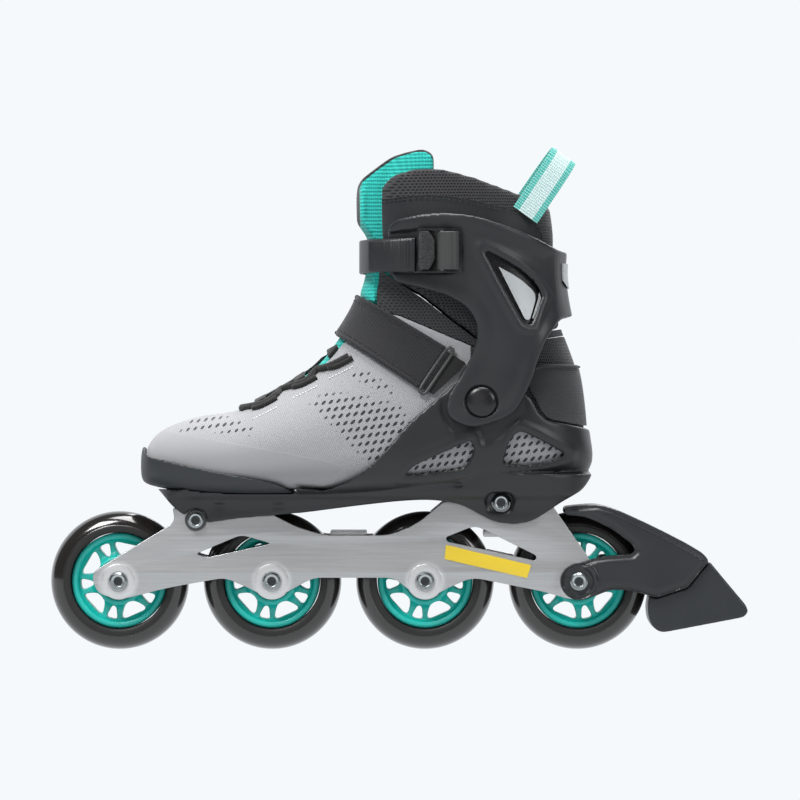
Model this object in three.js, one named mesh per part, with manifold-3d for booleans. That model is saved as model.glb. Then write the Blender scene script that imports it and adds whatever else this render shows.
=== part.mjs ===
// Inline skate for a left foot. Millimetres, +Z up, toe towards -X, outer side of the foot towards -Y.
// The ground is z = 0 and the origin lies on it under the middle of the skate.
// The boot is modelled in a group of its own, whose z = 0 is the top of the wheels.
import * as THREE from 'three';
import { mergeVertices } from 'three/addons/utils/BufferGeometryUtils.js';
import Module from 'manifold-3d';

const wasm = await Module();
wasm.setup();

// Wheels and axles
const wheelDiameter = 80;
const wheelWidth = 24;
const wheelGap = 8.4;
const wheelCount = 4;
const firstAxleX = -162.3;
const wheelSides = 24;
const coreDiameter = 55;
const coreThickness = 15;
const hubDiameter = 28;
const windowCount = 5;
const bearingDiameter = 22;
const bearingWidth = 7;
const axleDiameter = 8;
const axleHeadDiameter = 10.4;
const axleHeadHeight = 2;
const socketWidth = 5;

// Frame
const railWall = 3;
const wheelSideGap = 2.5;
const bossDiameter = 16;
const bridgeHeight = 3.5;
const bridgeAboveAxle = 25.5;
const frontPadHeight = 3;
const rearPadHeight = 6;
const frontBolt = { x: -117.6, z: -4.8 };
const rearBolt = { x: 58.2, z: 5.3 };
const boltDiameter = 6;
const boltHeadDiameter = 9;
const boltHeadHeight = 3;
const boltGrip = 12;
const washerDiameter = 12.4;
const washerThickness = 1;

// Boot
const upperWall = 3;
const collarWall = 8;
const shellWall = 3;
const bumperWall = 2.4;
const cuffWall = 3.4;
const flangeWall = 2.8;
const throatWidth = 32;
const tongueWall = 5;
const footbedTop = 20;
const strapThickness = 2.6;
const ladderThickness = 2.8;
const ladderLow = 137.5;
const ladderHigh = 156.5;
const pivot = { x: 46.4, z: 63.4 };
const pivotCapDiameter = 17;
const rivetDiameter = 7;

// Brake
const brakePlate = 3;
const brakeBodyWidth = 30;
const brakeScrewDiameter = 6;

// Clearances
const gap = 0.3;
const runningGap = 0.25;
const wheelWell = 2.3;
const cuffClearance = 1.2;

// Worked out from the sizes above
const wheelRadius = wheelDiameter / 2;
const wheelPitch = wheelDiameter + wheelGap;
const axleZ = wheelRadius;
const deckZ = wheelDiameter;
// Outlines of the brake and the label are drawn for a wheel of this radius with axles at these places
const drawnRadius = 40;
const drawnLastAxleX = 102.9;
const drawnThirdAxleX = 14.5;
const wheelGrowth = wheelRadius - drawnRadius;
const axleX = Array.from({ length: wheelCount }, (_, i) => firstAxleX + i * wheelPitch);
const lastAxleX = axleX[wheelCount - 1];
const railInside = wheelWidth / 2 + wheelSideGap;
const railOutside = railInside + railWall;
const flangeOutside = railOutside + gap + flangeWall;
const shellInner = gap;
const shellOuter = shellInner + shellWall;
const cuffInner = shellOuter + cuffClearance;
const cuffOuter = cuffInner + cuffWall;
const wide = 90;

const colours = {
  tyre: ['#141414', 0.35, 0],
  teal: ['#2fb9a6', 0.4, 0],
  steel: ['#c8cacc', 0.3, 1],
  darkSteel: ['#4a4c4e', 0.4, 1],
  aluminium: ['#c4c7c8', 0.35, 1],
  black: ['#1d1e20', 0.55, 0],
  charcoal: ['#3b3e41', 0.5, 0],
  rubber: ['#47484a', 0.85, 0],
  knit: ['#a9a9ab', 0.9, 0],
  mesh: ['#202022', 0.95, 0],
  label: ['#e8c832', 0.5, 0],
  silver: ['#d4d6d8', 0.4, 0.3],
};

const skate = new THREE.Group();

function addPart(name, shape, colour, parent = skate) {
  const [color, roughness, metalness] = colours[colour];
  const geometry = shape.isBufferGeometry ? shape : geometryOf(shape);
  const mesh = new THREE.Mesh(geometry, new THREE.MeshStandardMaterial({ color, roughness, metalness }));
  mesh.name = name;
  parent.add(mesh);
  return mesh;
}

// Solids

function solid(geometry) {
  geometry.deleteAttribute('normal');
  geometry.deleteAttribute('uv');
  const merged = mergeVertices(geometry, 1e-4);
  const corners = merged.index.array;
  const triVerts = [];
  for (let i = 0; i < corners.length; i += 3) {
    const [a, b, c] = corners.slice(i, i + 3);
    if (a !== b && b !== c && c !== a) triVerts.push(a, b, c);
  }
  return new wasm.Manifold(new wasm.Mesh({
    numProp: 3,
    vertProperties: merged.attributes.position.array,
    triVerts: new Uint32Array(triVerts),
  }));
}

function geometryOf(shape) {
  const { vertProperties, triVerts } = shape.getMesh();
  const geometry = new THREE.BufferGeometry();
  geometry.setAttribute('position', new THREE.BufferAttribute(vertProperties, 3));
  geometry.setIndex(new THREE.BufferAttribute(triVerts, 1));
  geometry.computeVertexNormals();
  return geometry;
}

function join(shapes) {
  return shapes.reduce((whole, shape) => whole.add(shape));
}

// A closed outline from corners [u, v, rounding], where rounding is how far from the corner its curve starts,
// up to a little less than half of the side there
function outline(corners) {
  const shape = new THREE.Shape();
  const towards = ([u, v, rounding = 0], [otherU, otherV]) => {
    const share = Math.min(rounding / Math.hypot(otherU - u, otherV - v), 0.46);
    return [u + (otherU - u) * share, v + (otherV - v) * share];
  };
  corners.forEach((corner, i) => {
    const start = towards(corner, corners.at(i - 1));
    if (i === 0) shape.moveTo(...start);
    else shape.lineTo(...start);
    if (corner[2]) {
      const end = towards(corner, corners[(i + 1) % corners.length]);
      shape.quadraticCurveTo(corner[0], corner[1], ...end);
    }
  });
  return shape;
}

// A flat solid whose outline lies in the XZ plane, from y = low to y = high
function plate(corners, low, high, curveSegments = 1) {
  const depth = high - low;
  const geometry = new THREE.ExtrudeGeometry(outline(corners), { depth, bevelEnabled: false, curveSegments });
  geometry.rotateX(Math.PI / 2);
  geometry.translate(0, high, 0);
  return solid(geometry);
}

// A flat solid whose outline lies in the XY plane, from z = low to z = high
function slab(shape, low, high) {
  const geometry = new THREE.ExtrudeGeometry(shape, { depth: high - low, bevelEnabled: false, curveSegments: 4 });
  geometry.translate(0, 0, low);
  return solid(geometry);
}

function box(x, y, z) {
  const geometry = new THREE.BoxGeometry(x[1] - x[0], y[1] - y[0], z[1] - z[0]);
  geometry.translate((x[0] + x[1]) / 2, (y[0] + y[1]) / 2, (z[0] + z[1]) / 2);
  return solid(geometry);
}

// A cylinder along Y
function rod(diameter, low, high, { x = 0, z = 0, sides = 16, turn = 0 } = {}) {
  const radius = diameter / 2;
  const geometry = new THREE.CylinderGeometry(radius, radius, high - low, sides, 1, false, turn);
  geometry.translate(x, (low + high) / 2, z);
  return solid(geometry);
}

// A cylinder along Z
function post(diameter, low, high, x, y, sides = 16) {
  const geometry = new THREE.CylinderGeometry(diameter / 2, diameter / 2, high - low, sides);
  geometry.rotateX(Math.PI / 2);
  geometry.translate(x, y, (low + high) / 2);
  return solid(geometry);
}

// The same shape on the other side of the foot
function mirrored(shape) {
  return shape.mirror([0, 1, 0]);
}

// Wheels

function tyre() {
  const half = wheelWidth / 2;
  const inner = coreDiameter / 2 + gap;
  const profile = [
    [inner, -half + 0.6],
    [inner + 5, -half],
    [wheelRadius - 2.6, -half + 2.6],
    [wheelRadius, -2.6],
    [wheelRadius, 2.6],
    [wheelRadius - 2.6, half - 2.6],
    [inner + 5, half],
    [inner, half - 0.6],
    [inner, -half + 0.6],
  ];
  return new THREE.LatheGeometry(profile.map(roundPoint), wheelSides, Math.PI / wheelSides);
}

// The wheels' many sides have their flats, not their corners, at the stated radius
function roundPoint([radius, along]) {
  return new THREE.Vector2(radius / Math.cos(Math.PI / wheelSides), along);
}

function core() {
  const halfWidth = wheelWidth / 2;
  const seat = bearingDiameter + 2 * gap;
  const turn = Math.PI / wheelSides;
  const rim = coreDiameter / Math.cos(turn);
  let body = rod(rim, -coreThickness / 2, coreThickness / 2, { sides: wheelSides, turn });
  body = body.add(rod(hubDiameter, -halfWidth, halfWidth));
  for (let i = 0; i < windowCount; i += 1) {
    const step = (2 * Math.PI) / windowCount;
    body = body.subtract(coreWindow(i * step + 1.36, 0.27, hubDiameter / 2 + 1.2, coreDiameter / 2 - 4.6));
    body = body.subtract(coreWindow((i + 0.5) * step + 1.36, 0.12, hubDiameter / 2 + 2.2, coreDiameter / 2 - 5));
  }
  const shoulder = halfWidth - bearingWidth;
  body = body.subtract(rod(bearingDiameter - 3, -halfWidth - 1, halfWidth + 1));
  body = body.subtract(rod(seat, shoulder - gap, halfWidth + 1));
  return body.subtract(rod(seat, -halfWidth - 1, -shoulder + gap));
}

function coreWindow(angle, spread, innerRadius, outerRadius) {
  const corner = (radius, side) => {
    const at = angle + side * spread;
    return [radius * Math.cos(at), radius * Math.sin(at), 1.8];
  };
  const corners = [corner(innerRadius, -1), corner(outerRadius, -1), corner(outerRadius, 1), corner(innerRadius, 1)];
  return plate(corners, -coreThickness, coreThickness);
}

function bearing() {
  const body = rod(bearingDiameter, 0, bearingWidth);
  return body.subtract(rod(axleDiameter + 2 * runningGap, -1, bearingWidth + 1, { sides: 12 }));
}

function spacer() {
  const length = wheelWidth - 2 * bearingWidth - 2 * gap;
  const body = rod(axleDiameter + 4, -length / 2, length / 2, { sides: 12 });
  return body.subtract(rod(axleDiameter + 2 * runningGap, -length, length, { sides: 12 }));
}

// The bolt and its barrel nut, with the bolt's head on the outer side; outside is where its head seats
function axle(outside) {
  const seat = outside + gap;
  const shaft = rod(axleDiameter, -seat - 0.5, seat + 0.5, { sides: 12 });
  const head = rod(axleHeadDiameter, -seat - axleHeadHeight, -seat);
  const nut = rod(axleHeadDiameter, seat, seat + axleHeadHeight);
  const socket = rod(socketWidth, -seat - axleHeadHeight - 1, -seat - 0.4, { sides: 6 });
  const nutSocket = rod(socketWidth, seat + 0.4, seat + axleHeadHeight + 1, { sides: 6 });
  return join([shaft, head, nut]).subtract(socket).subtract(nutSocket);
}

function addWheels() {
  const tyreShape = tyre();
  const coreShape = geometryOf(core());
  const bearingShape = geometryOf(bearing());
  const spacerShape = geometryOf(spacer());
  const axleShape = geometryOf(axle(railOutside));
  const brakeAxleShape = geometryOf(axle(brakeOutside));
  axleX.forEach((x, i) => {
    const number = i + 1;
    const last = number === wheelCount;
    const wheel = new THREE.Group();
    wheel.position.set(x, 0, axleZ);
    skate.add(wheel);
    addPart(`tyre_${number}`, tyreShape, 'tyre', wheel);
    addPart(`core_${number}`, coreShape, 'teal', wheel);
    addPart(`bearing_${number}_inner_side`, bearingShape, 'steel', wheel).position.y = wheelWidth / 2 - bearingWidth;
    addPart(`bearing_${number}_outer_side`, bearingShape, 'steel', wheel).position.y = -wheelWidth / 2;
    addPart(`spacer_${number}`, spacerShape, 'darkSteel', wheel);
    addPart(`axle_${number}`, last ? brakeAxleShape : axleShape, 'steel', wheel);
  });
}

// Frame

function railOutline() {
  const [first, second, third, last] = axleX;
  const middleTop = axleZ + 26.5;
  const middleLow = axleZ + 2;
  const bossLow = axleZ - 10.8;
  const frontPad = deckZ + frontPadHeight;
  const rearPad = deckZ + rearPadHeight;
  return [
    [first - 15.2, axleZ + 2, 5],
    [first - 12, axleZ - 7, 5],
    [first + 1, bossLow, 7],
    [first + 30, axleZ - 3.4, 10],
    [second - 27, middleLow, 5],
    [second - 12, axleZ - 4.5, 4],
    [second, bossLow - 0.4, 6],
    [second + 12, axleZ - 4.5, 4],
    [second + 24, middleLow, 5],
    [third - 18, middleLow, 5],
    [third - 10, axleZ - 4.5, 4],
    [third, bossLow - 0.4, 6],
    [third + 13, axleZ - 4, 4],
    [third + 27, axleZ + 2.2, 6],
    [last - 20, axleZ - 6, 8],
    [last - 3, bossLow - 0.4, 7],
    [last + 9, axleZ - 8, 5],
    [last + 11.2, axleZ + 3, 4],
    [last + 5, axleZ + 15, 4],
    [last - 1.5, axleZ + 24],
    [rearBolt.x + 28, rearPad, 2],
    [rearBolt.x - 33, rearPad, 2],
    [third - 4, axleZ + 33.8, 4],
    [third - 13, axleZ + 29.3, 5],
    [third - 22, middleTop, 5],
    [second + 30, middleTop, 5],
    [second + 14, axleZ + 31.5, 5],
    [frontBolt.x + 45.5, frontPad - 5.2],
    [frontBolt.x + 41, frontPad, 2],
    [frontBolt.x - 13.4, frontPad - 1, 1],
    [frontBolt.x - 12.1, frontPad - 9, 4],
    [first + 12, axleZ + 21.7, 6],
    [first - 13.7, axleZ + 6, 4],
  ];
}

function frontWindow() {
  const [, second] = axleX;
  return [
    [second - 43.9, axleZ + 15.7, 2.5],
    [second - 17.5, axleZ + 26.7, 4],
    [second - 0.3, axleZ + 21.7, 2.5],
    [second - 37.3, axleZ + 13.7, 3],
  ];
}

function rearWindow() {
  const [, , third] = axleX;
  return [
    [third + 11.9, axleZ + 25.3, 1.5],
    [third + 26.5, axleZ + 31.2, 3],
    [third + 31, axleZ + 31.2, 4],
    [third + 64.2, axleZ + 14.7, 2],
    [third + 63.5, axleZ + 11.8, 1.5],
    [third + 12.6, axleZ + 22.9, 1.5],
  ];
}

// The bridge between two neighbouring wheels is as long as the wheels leave room for
function bridge(leftAxle) {
  const reach = wheelRadius + wheelWell;
  const half = wheelPitch / 2 - Math.sqrt(reach ** 2 - bridgeAboveAxle ** 2);
  const middle = leftAxle + wheelPitch / 2;
  const low = axleZ + bridgeAboveAxle;
  return box([middle - half, middle + half], [-railInside - 1, railInside + 1], [low, low + bridgeHeight]);
}

function frame() {
  const side = plate(railOutline(), railInside, railOutside);
  const bridges = axleX.slice(0, -1).map(bridge);
  const bossSeat = wheelWidth / 2 + gap;
  const bosses = axleX.map((x) => rod(bossDiameter, bossSeat, railInside + 1, { x, z: axleZ, sides: 12 }));
  const half = join([side, ...bosses]);
  let body = join([half, mirrored(half), ...bridges]);
  body = body.subtract(plate(frontWindow(), -wide, wide));
  body = body.subtract(plate(rearWindow(), -wide, wide));
  const hole = { z: axleZ, sides: 12 };
  axleX.forEach((x) => {
    body = body.subtract(rod(axleDiameter + 2 * runningGap, -wide, wide, { ...hole, x }));
  });
  [frontBolt, rearBolt].forEach(({ x, z }) => {
    body = body.subtract(rod(boltDiameter + 2 * gap, -wide, wide, { x, z: deckZ + z, sides: 12 }));
  });
  return body;
}

function frameBolt(seat) {
  const shaft = rod(boltDiameter, -seat - 0.5, -seat + railWall + boltGrip, { sides: 12 });
  const head = rod(boltHeadDiameter, -seat - boltHeadHeight, -seat);
  const socket = rod(socketWidth, -seat - boltHeadHeight - 1, -seat - 1, { sides: 6 });
  return join([shaft, head]).subtract(socket);
}

function washer() {
  const body = rod(washerDiameter, -railOutside - gap - washerThickness, -railOutside - gap);
  return body.subtract(rod(boltDiameter + 2 * gap, -wide, wide, { sides: 12 }));
}

function addFrame() {
  addPart('frame', frame(), 'aluminium');
  const frontSeat = railOutside + washerThickness + 2 * gap;
  const rearSeat = railOutside + gap;
  const place = (name, shape, bolt, colour) => {
    addPart(`${name}_outer_side`, shape.translate(bolt.x, 0, deckZ + bolt.z), colour);
    addPart(`${name}_inner_side`, mirrored(shape).translate(bolt.x, 0, deckZ + bolt.z), colour);
  };
  place('front_bolt', frameBolt(frontSeat), frontBolt, 'steel');
  place('front_washer', washer(), frontBolt, 'darkSteel');
  place('rear_bolt', frameBolt(rearSeat), rearBolt, 'steel');
  const label = [[26.5, 61], [75.6, 49.3], [73.2, 41.8], [25.6, 52.8]];
  const shift = axleX[2] - drawnThirdAxleX;
  const corners = label.map(([x, z]) => [x + shift, z + wheelGrowth, 0.8]);
  addPart('label', plate(corners, -railOutside - gap - 0.3, -railOutside - gap), 'label');
}

// Boot surface

// Sections of the soft boot from toe to collar: its front or top point, its back or sole point,
// its half width and how far its middle lies towards the inner side of the foot
const bootSections = [
  { front: [-147.3, 33], back: [-147.3, 23], half: 9, shift: 4 },
  { front: [-146, 37.5], back: [-146, 18.5], half: 20, shift: 4 },
  { front: [-141.5, 44], back: [-141.5, 16.3], half: 29.5, shift: 4 },
  { front: [-132, 49.8], back: [-132, 14.8], half: 37.5, shift: 3.5 },
  { front: [-116, 54.8], back: [-116, 13.2], half: 43.5, shift: 2.5 },
  { front: [-93, 58.8], back: [-93, 12.5], half: 47.5, shift: 1 },
  { front: [-70, 70], back: [-58, 12.5], half: 48, shift: 0 },
  { front: [-48.5, 84], back: [-18, 12.7], half: 45, shift: 0 },
  { front: [-36, 100], back: [30, 14], half: 41, shift: 0 },
  { front: [-26, 116], back: [78, 17], half: 37.5, shift: 0 },
  { front: [-19.5, 132], back: [106, 25], half: 36, shift: 0 },
  { front: [-17.5, 144], back: [106.5, 48], half: 36, shift: 0 },
  { front: [-17, 156], back: [102.5, 80], half: 38, shift: 0 },
  { front: [-17, 167], back: [93, 108], half: 40, shift: 0 },
  { front: [-17, 176], back: [88.5, 135], half: 41, shift: 0 },
  { front: [-16.5, 184], back: [89.3, 158], half: 41, shift: 0 },
  { front: [-15.5, 192], back: [87.5, 174], half: 40.5, shift: 0 },
  { front: [-14.5, 200], back: [85.5, 187], half: 40, shift: 0 },
  { front: [-14, 214], back: [83, 207], half: 40, shift: 0 },
];
const ringCount = 24;
const ringPoints = 16;

function sectionAt(share) {
  const along = (pick) => {
    const points = bootSections.map((section) => new THREE.Vector3(...pick(section)));
    return new THREE.CatmullRomCurve3(points, false, 'catmullrom', 0.5).getPoint(share);
  };
  const front = along(({ front: [x, z] }) => [x, 0, z]);
  const back = along(({ back: [x, z] }) => [x, 0, z]);
  const width = along(({ half, shift }) => [half, shift, 0]);
  return { front, back, half: width.x, shift: width.y };
}

// A ring is a superellipse, squarer and fuller towards the sole than towards the instep
function ring(share) {
  const { front, back, half, shift } = sectionAt(share);
  const leg = THREE.MathUtils.smoothstep(share, 0.36, 0.66);
  const middle = 0.38 + 0.12 * leg;
  const soleSquareness = 3.2 - leg;
  const points = [];
  for (let i = 0; i < ringPoints; i += 1) {
    const angle = (2 * Math.PI * i) / ringPoints;
    const up = Math.sin(angle);
    const out = Math.cos(angle);
    const power = 2 / (up > 0 ? 2.2 : soleSquareness);
    const rise = Math.sign(up) * Math.abs(up) ** power * (up > 0 ? 1 - middle : middle);
    const side = Math.sign(out) * Math.abs(out) ** power * half + shift;
    const point = new THREE.Vector3().lerpVectors(back, front, middle + rise);
    points.push(point.setY(side));
  }
  return points;
}

const rings = Array.from({ length: ringCount }, (_, i) => ring(i / (ringCount - 1)));

// The soft boot's surface moved outwards by offset, as a closed solid
function bootSkin(offset) {
  const toe = new THREE.Vector3(-1, 0, 0);
  const positions = [];
  rings.forEach((points, i) => {
    const before = rings[Math.max(i - 1, 0)];
    const after = rings[Math.min(i + 1, ringCount - 1)];
    points.forEach((point, j) => {
      const along = after[j].clone().sub(before[j]);
      const around = points[(j + 1) % ringPoints].clone().sub(points.at(j - 1));
      const normal = around.cross(along).normalize();
      if (i === 0) normal.add(toe).normalize();
      positions.push(...point.clone().addScaledVector(normal, offset));
    });
  });
  const middleOf = (points) => points.reduce((sum, p) => sum.add(p), new THREE.Vector3()).divideScalar(ringPoints);
  positions.push(...middleOf(rings[0]).addScaledVector(toe, offset));
  positions.push(...middleOf(rings[ringCount - 1]));
  const toeTip = ringCount * ringPoints;
  const top = toeTip + 1;
  const index = [];
  for (let j = 0; j < ringPoints; j += 1) {
    const next = (j + 1) % ringPoints;
    const last = (ringCount - 1) * ringPoints;
    index.push(toeTip, next, j);
    index.push(top, last + j, last + next);
    for (let i = 0; i < ringCount - 1; i += 1) {
      const a = i * ringPoints;
      const b = a + ringPoints;
      index.push(a + j, a + next, b + j);
      index.push(a + next, b + next, b + j);
    }
  }
  const geometry = new THREE.BufferGeometry();
  geometry.setAttribute('position', new THREE.Float32BufferAttribute(positions, 3));
  geometry.setIndex(index);
  return solid(geometry);
}

// The part of the boot's wall between two offsets that a side outline covers
function wall(inner, outer, corners, low = -wide, high = wide) {
  return bootSkin(outer).subtract(bootSkin(inner)).intersect(plate(corners, low, high));
}

// How far the boot's surface, moved outwards by offset, reaches towards the outer side within a distance of a point
function sideReach({ x, z }, offset, distance) {
  const probe = box([x - distance, x + distance], [-wide, 0], [z - distance, z + distance]);
  return probe.intersect(bootSkin(offset)).boundingBox().min[1];
}

// Boot outlines, in the boot's own frame

// Where the toe bumper and the sole shell meet
const bumperFoot = [[-59.2, 9.9], [-80.4, 8.4], [-103.6, 8.9], [-128.1, 11.4]];

const bumperOutline = [
  ...bumperFoot.map(([x, z]) => [x, z + gap]),
  [-143.9, 15.3], [-156, 20], [-156, 38], [-148.5, 37.6],
  [-145.5, 31.9, 4], [-128, 28.8, 6], [-101.5, 22.9, 8], [-80.4, 18.7, 8], [-69.8, 16.6, 4],
];

const shellOutline = [
  [-141, 14, 1], [-134.7, 7.8, 2], [-129.9, 2.2, 3], [-123.5, -2.6, 3], [-110.6, -6.3, 3],
  [-92.9, -3.8, 3], [-56.6, -0.6, 8], [-23, 3.8, 8], [0, 6.4, 8], [16, 7.2, 7], [28, 5.9, 5],
  [36.2, 3.8, 4], [45.1, -1, 4], [54.8, -5.9, 4], [66, -7.3, 5], [75.7, -5.5, 4], [84.6, -0.2, 4],
  [91.4, 4.7, 3], [97.2, 8.3, 3], [105.2, 12.7, 4], [109.8, 19, 3], [113.5, 27, 4], [116, 34.5, 3],
  [114, 42, 3], [110.5, 47, 2], [105.2, 48.7, 2], [96.3, 50.5, 4], [84.1, 52.7, 4], [79.7, 57, 3],
  [74.7, 66.5, 3], [66, 71, 5], [54, 81, 6], [43, 88, 4], [38, 84.7, 3], [32.5, 76, 4],
  [24.5, 67.9, 4], [11.4, 57, 6], [4.2, 50.5, 4], [-6.3, 37.8, 6], [-17.9, 25.2, 6],
  [-27.4, 18.9, 5], [-42.2, 12.5, 5],
  ...bumperFoot,
];

const frontVent = [
  [1.6, 21.4, 2], [8.8, 27.4, 3], [26.4, 35.4, 4], [41, 41.8, 2],
  [42.4, 35.4, 4], [37.6, 25.4, 4], [23.9, 23.4, 3],
];

const rearVent = [
  [64.8, 44.2, 3], [68.8, 47, 2], [80, 41.8, 3], [95.4, 33.2, 2],
  [84, 28.6, 4], [72, 27, 4], [58.8, 28.4, 2], [61.6, 39.4, 3],
];

const cuffOutline = [
  [-4.6, 138.8], [-7.2, 162, 4], [-3, 167.3, 4], [12.8, 170.4, 5], [28.6, 170.8, 6], [44.5, 168.8, 6],
  [65.5, 162, 5], [80.3, 155.7, 4], [91, 150.6, 2], [112, 146], [112, 116], [92.4, 111, 3],
  [82.9, 98.8, 5], [78.1, 86.1, 4], [75, 75.6, 4], [69.7, 65, 4], [65.2, 57.8, 4], [57.9, 53.4, 4],
  [40.5, 48.4, 7], [28.1, 54.1, 5], [26.3, 60.7, 3], [28.1, 67.9, 3], [38.3, 84, 5], [42.6, 94.1, 4],
  [44.5, 102, 4], [43.3, 110.3, 4], [38.1, 117.7, 4], [27.6, 124, 4], [12.8, 128.2, 5], [-3, 131.9, 3],
];

const cuffWindow = [
  [47.5, 150.3, 2], [66.5, 140.8, 8], [78, 131.3, 5], [81.7, 123.9, 3],
  [74.9, 107.1, 2], [70.7, 108.2, 2], [57, 132.3, 6],
];

// The liner moves with the cuff above collarFoot and stays with the foot below upperTop
const collarFoot = [[-13.5, 141], [13.3, 122.8], [31, 109], [49, 95.5], [62, 101], [105, 107.5]];
const upperTop = [[-34, 121], [0.2, 112.6], [42.5, 94.7], [46, 91], [60, 96], [105, 102.8]];

const collarRim = [
  [105, 170], [84.2, 176.7, 3], [66.1, 183.1, 5], [44.8, 191, 6], [23.6, 196.9, 6], [7.6, 196.9, 5],
  [-3, 193.7, 4], [-11.5, 187.4, 4], [-13.5, 179.4, 2],
];

const throat = [[-91, 200], [-91, 48], [-60, 48], [60, 90], [60, 200]];

const heelOutline = [
  [70, 79.5], [76, 86], [112, 83], [112, 49.4], [105.3, 49.7], [96.6, 51.5], [85, 53.7, 3],
  [81.2, 57.9, 3], [76.4, 67.4],
];

const strapTop = { low: [25.6, 93.6], high: [-24.2, 123.7] };
const strapFoot = { low: [10.8, 71.9], high: [-39, 104.7] };

// Soft boot

function upper() {
  const region = [[-156, 0], [125, 0], ...upperTop.toReversed()];
  region.push([-60, 150], [-156, 150]);
  const opening = plate(throat, -throatWidth / 2, throatWidth / 2);
  return wall(-upperWall, 0, region).subtract(opening);
}

function collar() {
  const opening = box([-60, 10], [-throatWidth / 2 - 1, throatWidth / 2 + 1], [0, 300]);
  return wall(-collarWall, 0, [...collarFoot, ...collarRim]).subtract(opening);
}

function gusset() {
  const low = upperTop.map(([x, z]) => [x, z + gap + 0.2]);
  const high = collarFoot.toReversed().map(([x, z]) => [x, z - gap - 0.2]);
  const opening = plate(throat, -throatWidth / 2 - gap, throatWidth / 2 + gap);
  const clipFront = box([-13.2, wide * 2], [-wide, wide], [0, 200]);
  return wall(-upperWall - 0.5, -gap, [...low, ...high]).intersect(clipFront).subtract(opening);
}

// The tongue lies in the throat, widens over the shin and has wings inside the collar
function tongue() {
  const half = throatWidth / 2 - gap;
  const depth = -collarWall - tongueWall;
  const inThroat = wall(-tongueWall, -gap, [
    [-90.5, 150], [-90.5, 52], [-59, 52], [-8, 108], [-50, 150],
  ], -half, half);
  const middle = wall(depth, -gap, [[-50, 118], [-18, 104], [-2, 124], [-2, 208], [-18, 203], [-34, 192]], -half, half);
  const overShin = wall(-3, 2, [
    [-45, 138.2], [-24.2, 125.6], [-13.9, 119.4], [-13.9, 204.5], [-18, 203, 2], [-34, 192, 4],
  ], -24, 24);
  const wings = wall(depth, -collarWall - gap, [
    [-18, 145], [6, 150, 4], [19, 190, 4], [19.5, 205.6, 3], [13, 208.8, 3], [4.5, 207.1, 3], [-18, 199],
  ]);
  return join([inThroat, middle, overShin, wings]);
}

function footbed() {
  const region = [[-140, 5], [110, 5], [110, footbedTop + 6], [60, footbedTop + 4], [0, footbedTop], [-140, footbedTop + 1]];
  return bootSkin(-upperWall - gap).intersect(plate(region, -wide, wide));
}

function heelPanel() {
  return wall(gap, gap + 1.6, heelOutline);
}

// Hard boot

// The keel under the boot: flanges outside the rails that flare out to meet the sole
function keel() {
  const half = flangeOutside;
  const section = [
    [-half, -12], [half, -12], [half, 1], [half + 2.5, 6], [30, 11], [34, 22],
    [-34, 22], [-30, 11], [-half - 2.5, 6], [-half, 1],
  ];
  const geometry = new THREE.ExtrudeGeometry(outline(section), { depth: 260, bevelEnabled: false });
  const turn = new THREE.Matrix4().makeBasis(
    new THREE.Vector3(0, 1, 0),
    new THREE.Vector3(0, 0, 1),
    new THREE.Vector3(1, 0, 0),
  );
  geometry.applyMatrix4(turn.setPosition(-145, 0, 0));
  const plan = [
    [-141, 7, 4], [-134, 24, 8], [-118, 36, 10], [80, 36, 12], [101, 27, 10], [112, 10, 6],
    [112, -10, 6], [101, -27, 10], [80, -36, 12], [-118, -36, 10], [-134, -24, 8], [-141, -7, 4],
  ];
  return solid(geometry).intersect(slab(outline(plan), -15, 25));
}

function pedestal({ x, z }, half) {
  return box([x - half, x + half], [-railInside + gap, railInside - gap], [z - 5.7, z + 8]);
}

function shell() {
  let body = bootSkin(shellOuter).add(keel()).intersect(plate(shellOutline, -wide, wide));
  body = body.add(pedestal(frontBolt, 12)).add(pedestal(rearBolt, 16));
  body = body.subtract(bootSkin(shellInner));
  const slot = [railInside - gap, railOutside + gap];
  const slots = join([
    box([frontBolt.x - 17, frontBolt.x + 58], slot, [-20, frontPadHeight + gap]),
    box([rearBolt.x - 43, rearBolt.x + 37], slot, [-20, rearPadHeight + gap]),
  ]);
  body = body.subtract(slots).subtract(mirrored(slots));
  axleX.forEach((x) => {
    const well = { x, z: -wheelRadius, sides: 40 };
    body = body.subtract(rod(wheelDiameter + 2 * wheelWell, -railInside, railInside, well));
  });
  body = body.subtract(plate(frontVent, -wide, wide)).subtract(plate(rearVent, -wide, wide));
  body = body.subtract(rod(rivetDiameter + 2 * gap, -wide, wide, { ...pivot, sides: 12 }));
  const recess = join([
    rod(washerDiameter + 2 * gap, railOutside, wide, frontBolt),
    rod(13, railOutside, wide, { ...rearBolt, x: rearBolt.x - 2.5 }),
    rod(13, railOutside, wide, { ...rearBolt, x: rearBolt.x + 1 }),
  ]);
  body = body.subtract(recess).subtract(mirrored(recess));
  [frontBolt, rearBolt].forEach((bolt) => {
    body = body.subtract(rod(boltDiameter + 2 * gap, -wide, wide, { ...bolt, sides: 12 }));
  });
  return body;
}

function bumper() {
  return wall(gap, gap + bumperWall, bumperOutline);
}

function cuff() {
  const body = wall(cuffInner, cuffOuter, cuffOutline);
  const hole = rod(rivetDiameter + 2 * gap, -wide, wide, { ...pivot, sides: 16 });
  return body.subtract(plate(cuffWindow, -wide, wide)).subtract(hole);
}

function rivet() {
  const outside = sideReach(pivot, cuffOuter, pivotCapDiameter / 2) - gap;
  const inside = sideReach(pivot, 0, rivetDiameter / 2) - gap;
  const shaft = rod(rivetDiameter, outside - 0.5, inside, { ...pivot, sides: 12 });
  return shaft.add(rod(pivotCapDiameter, outside - 2.4, outside, { ...pivot, sides: 24 }));
}

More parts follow.
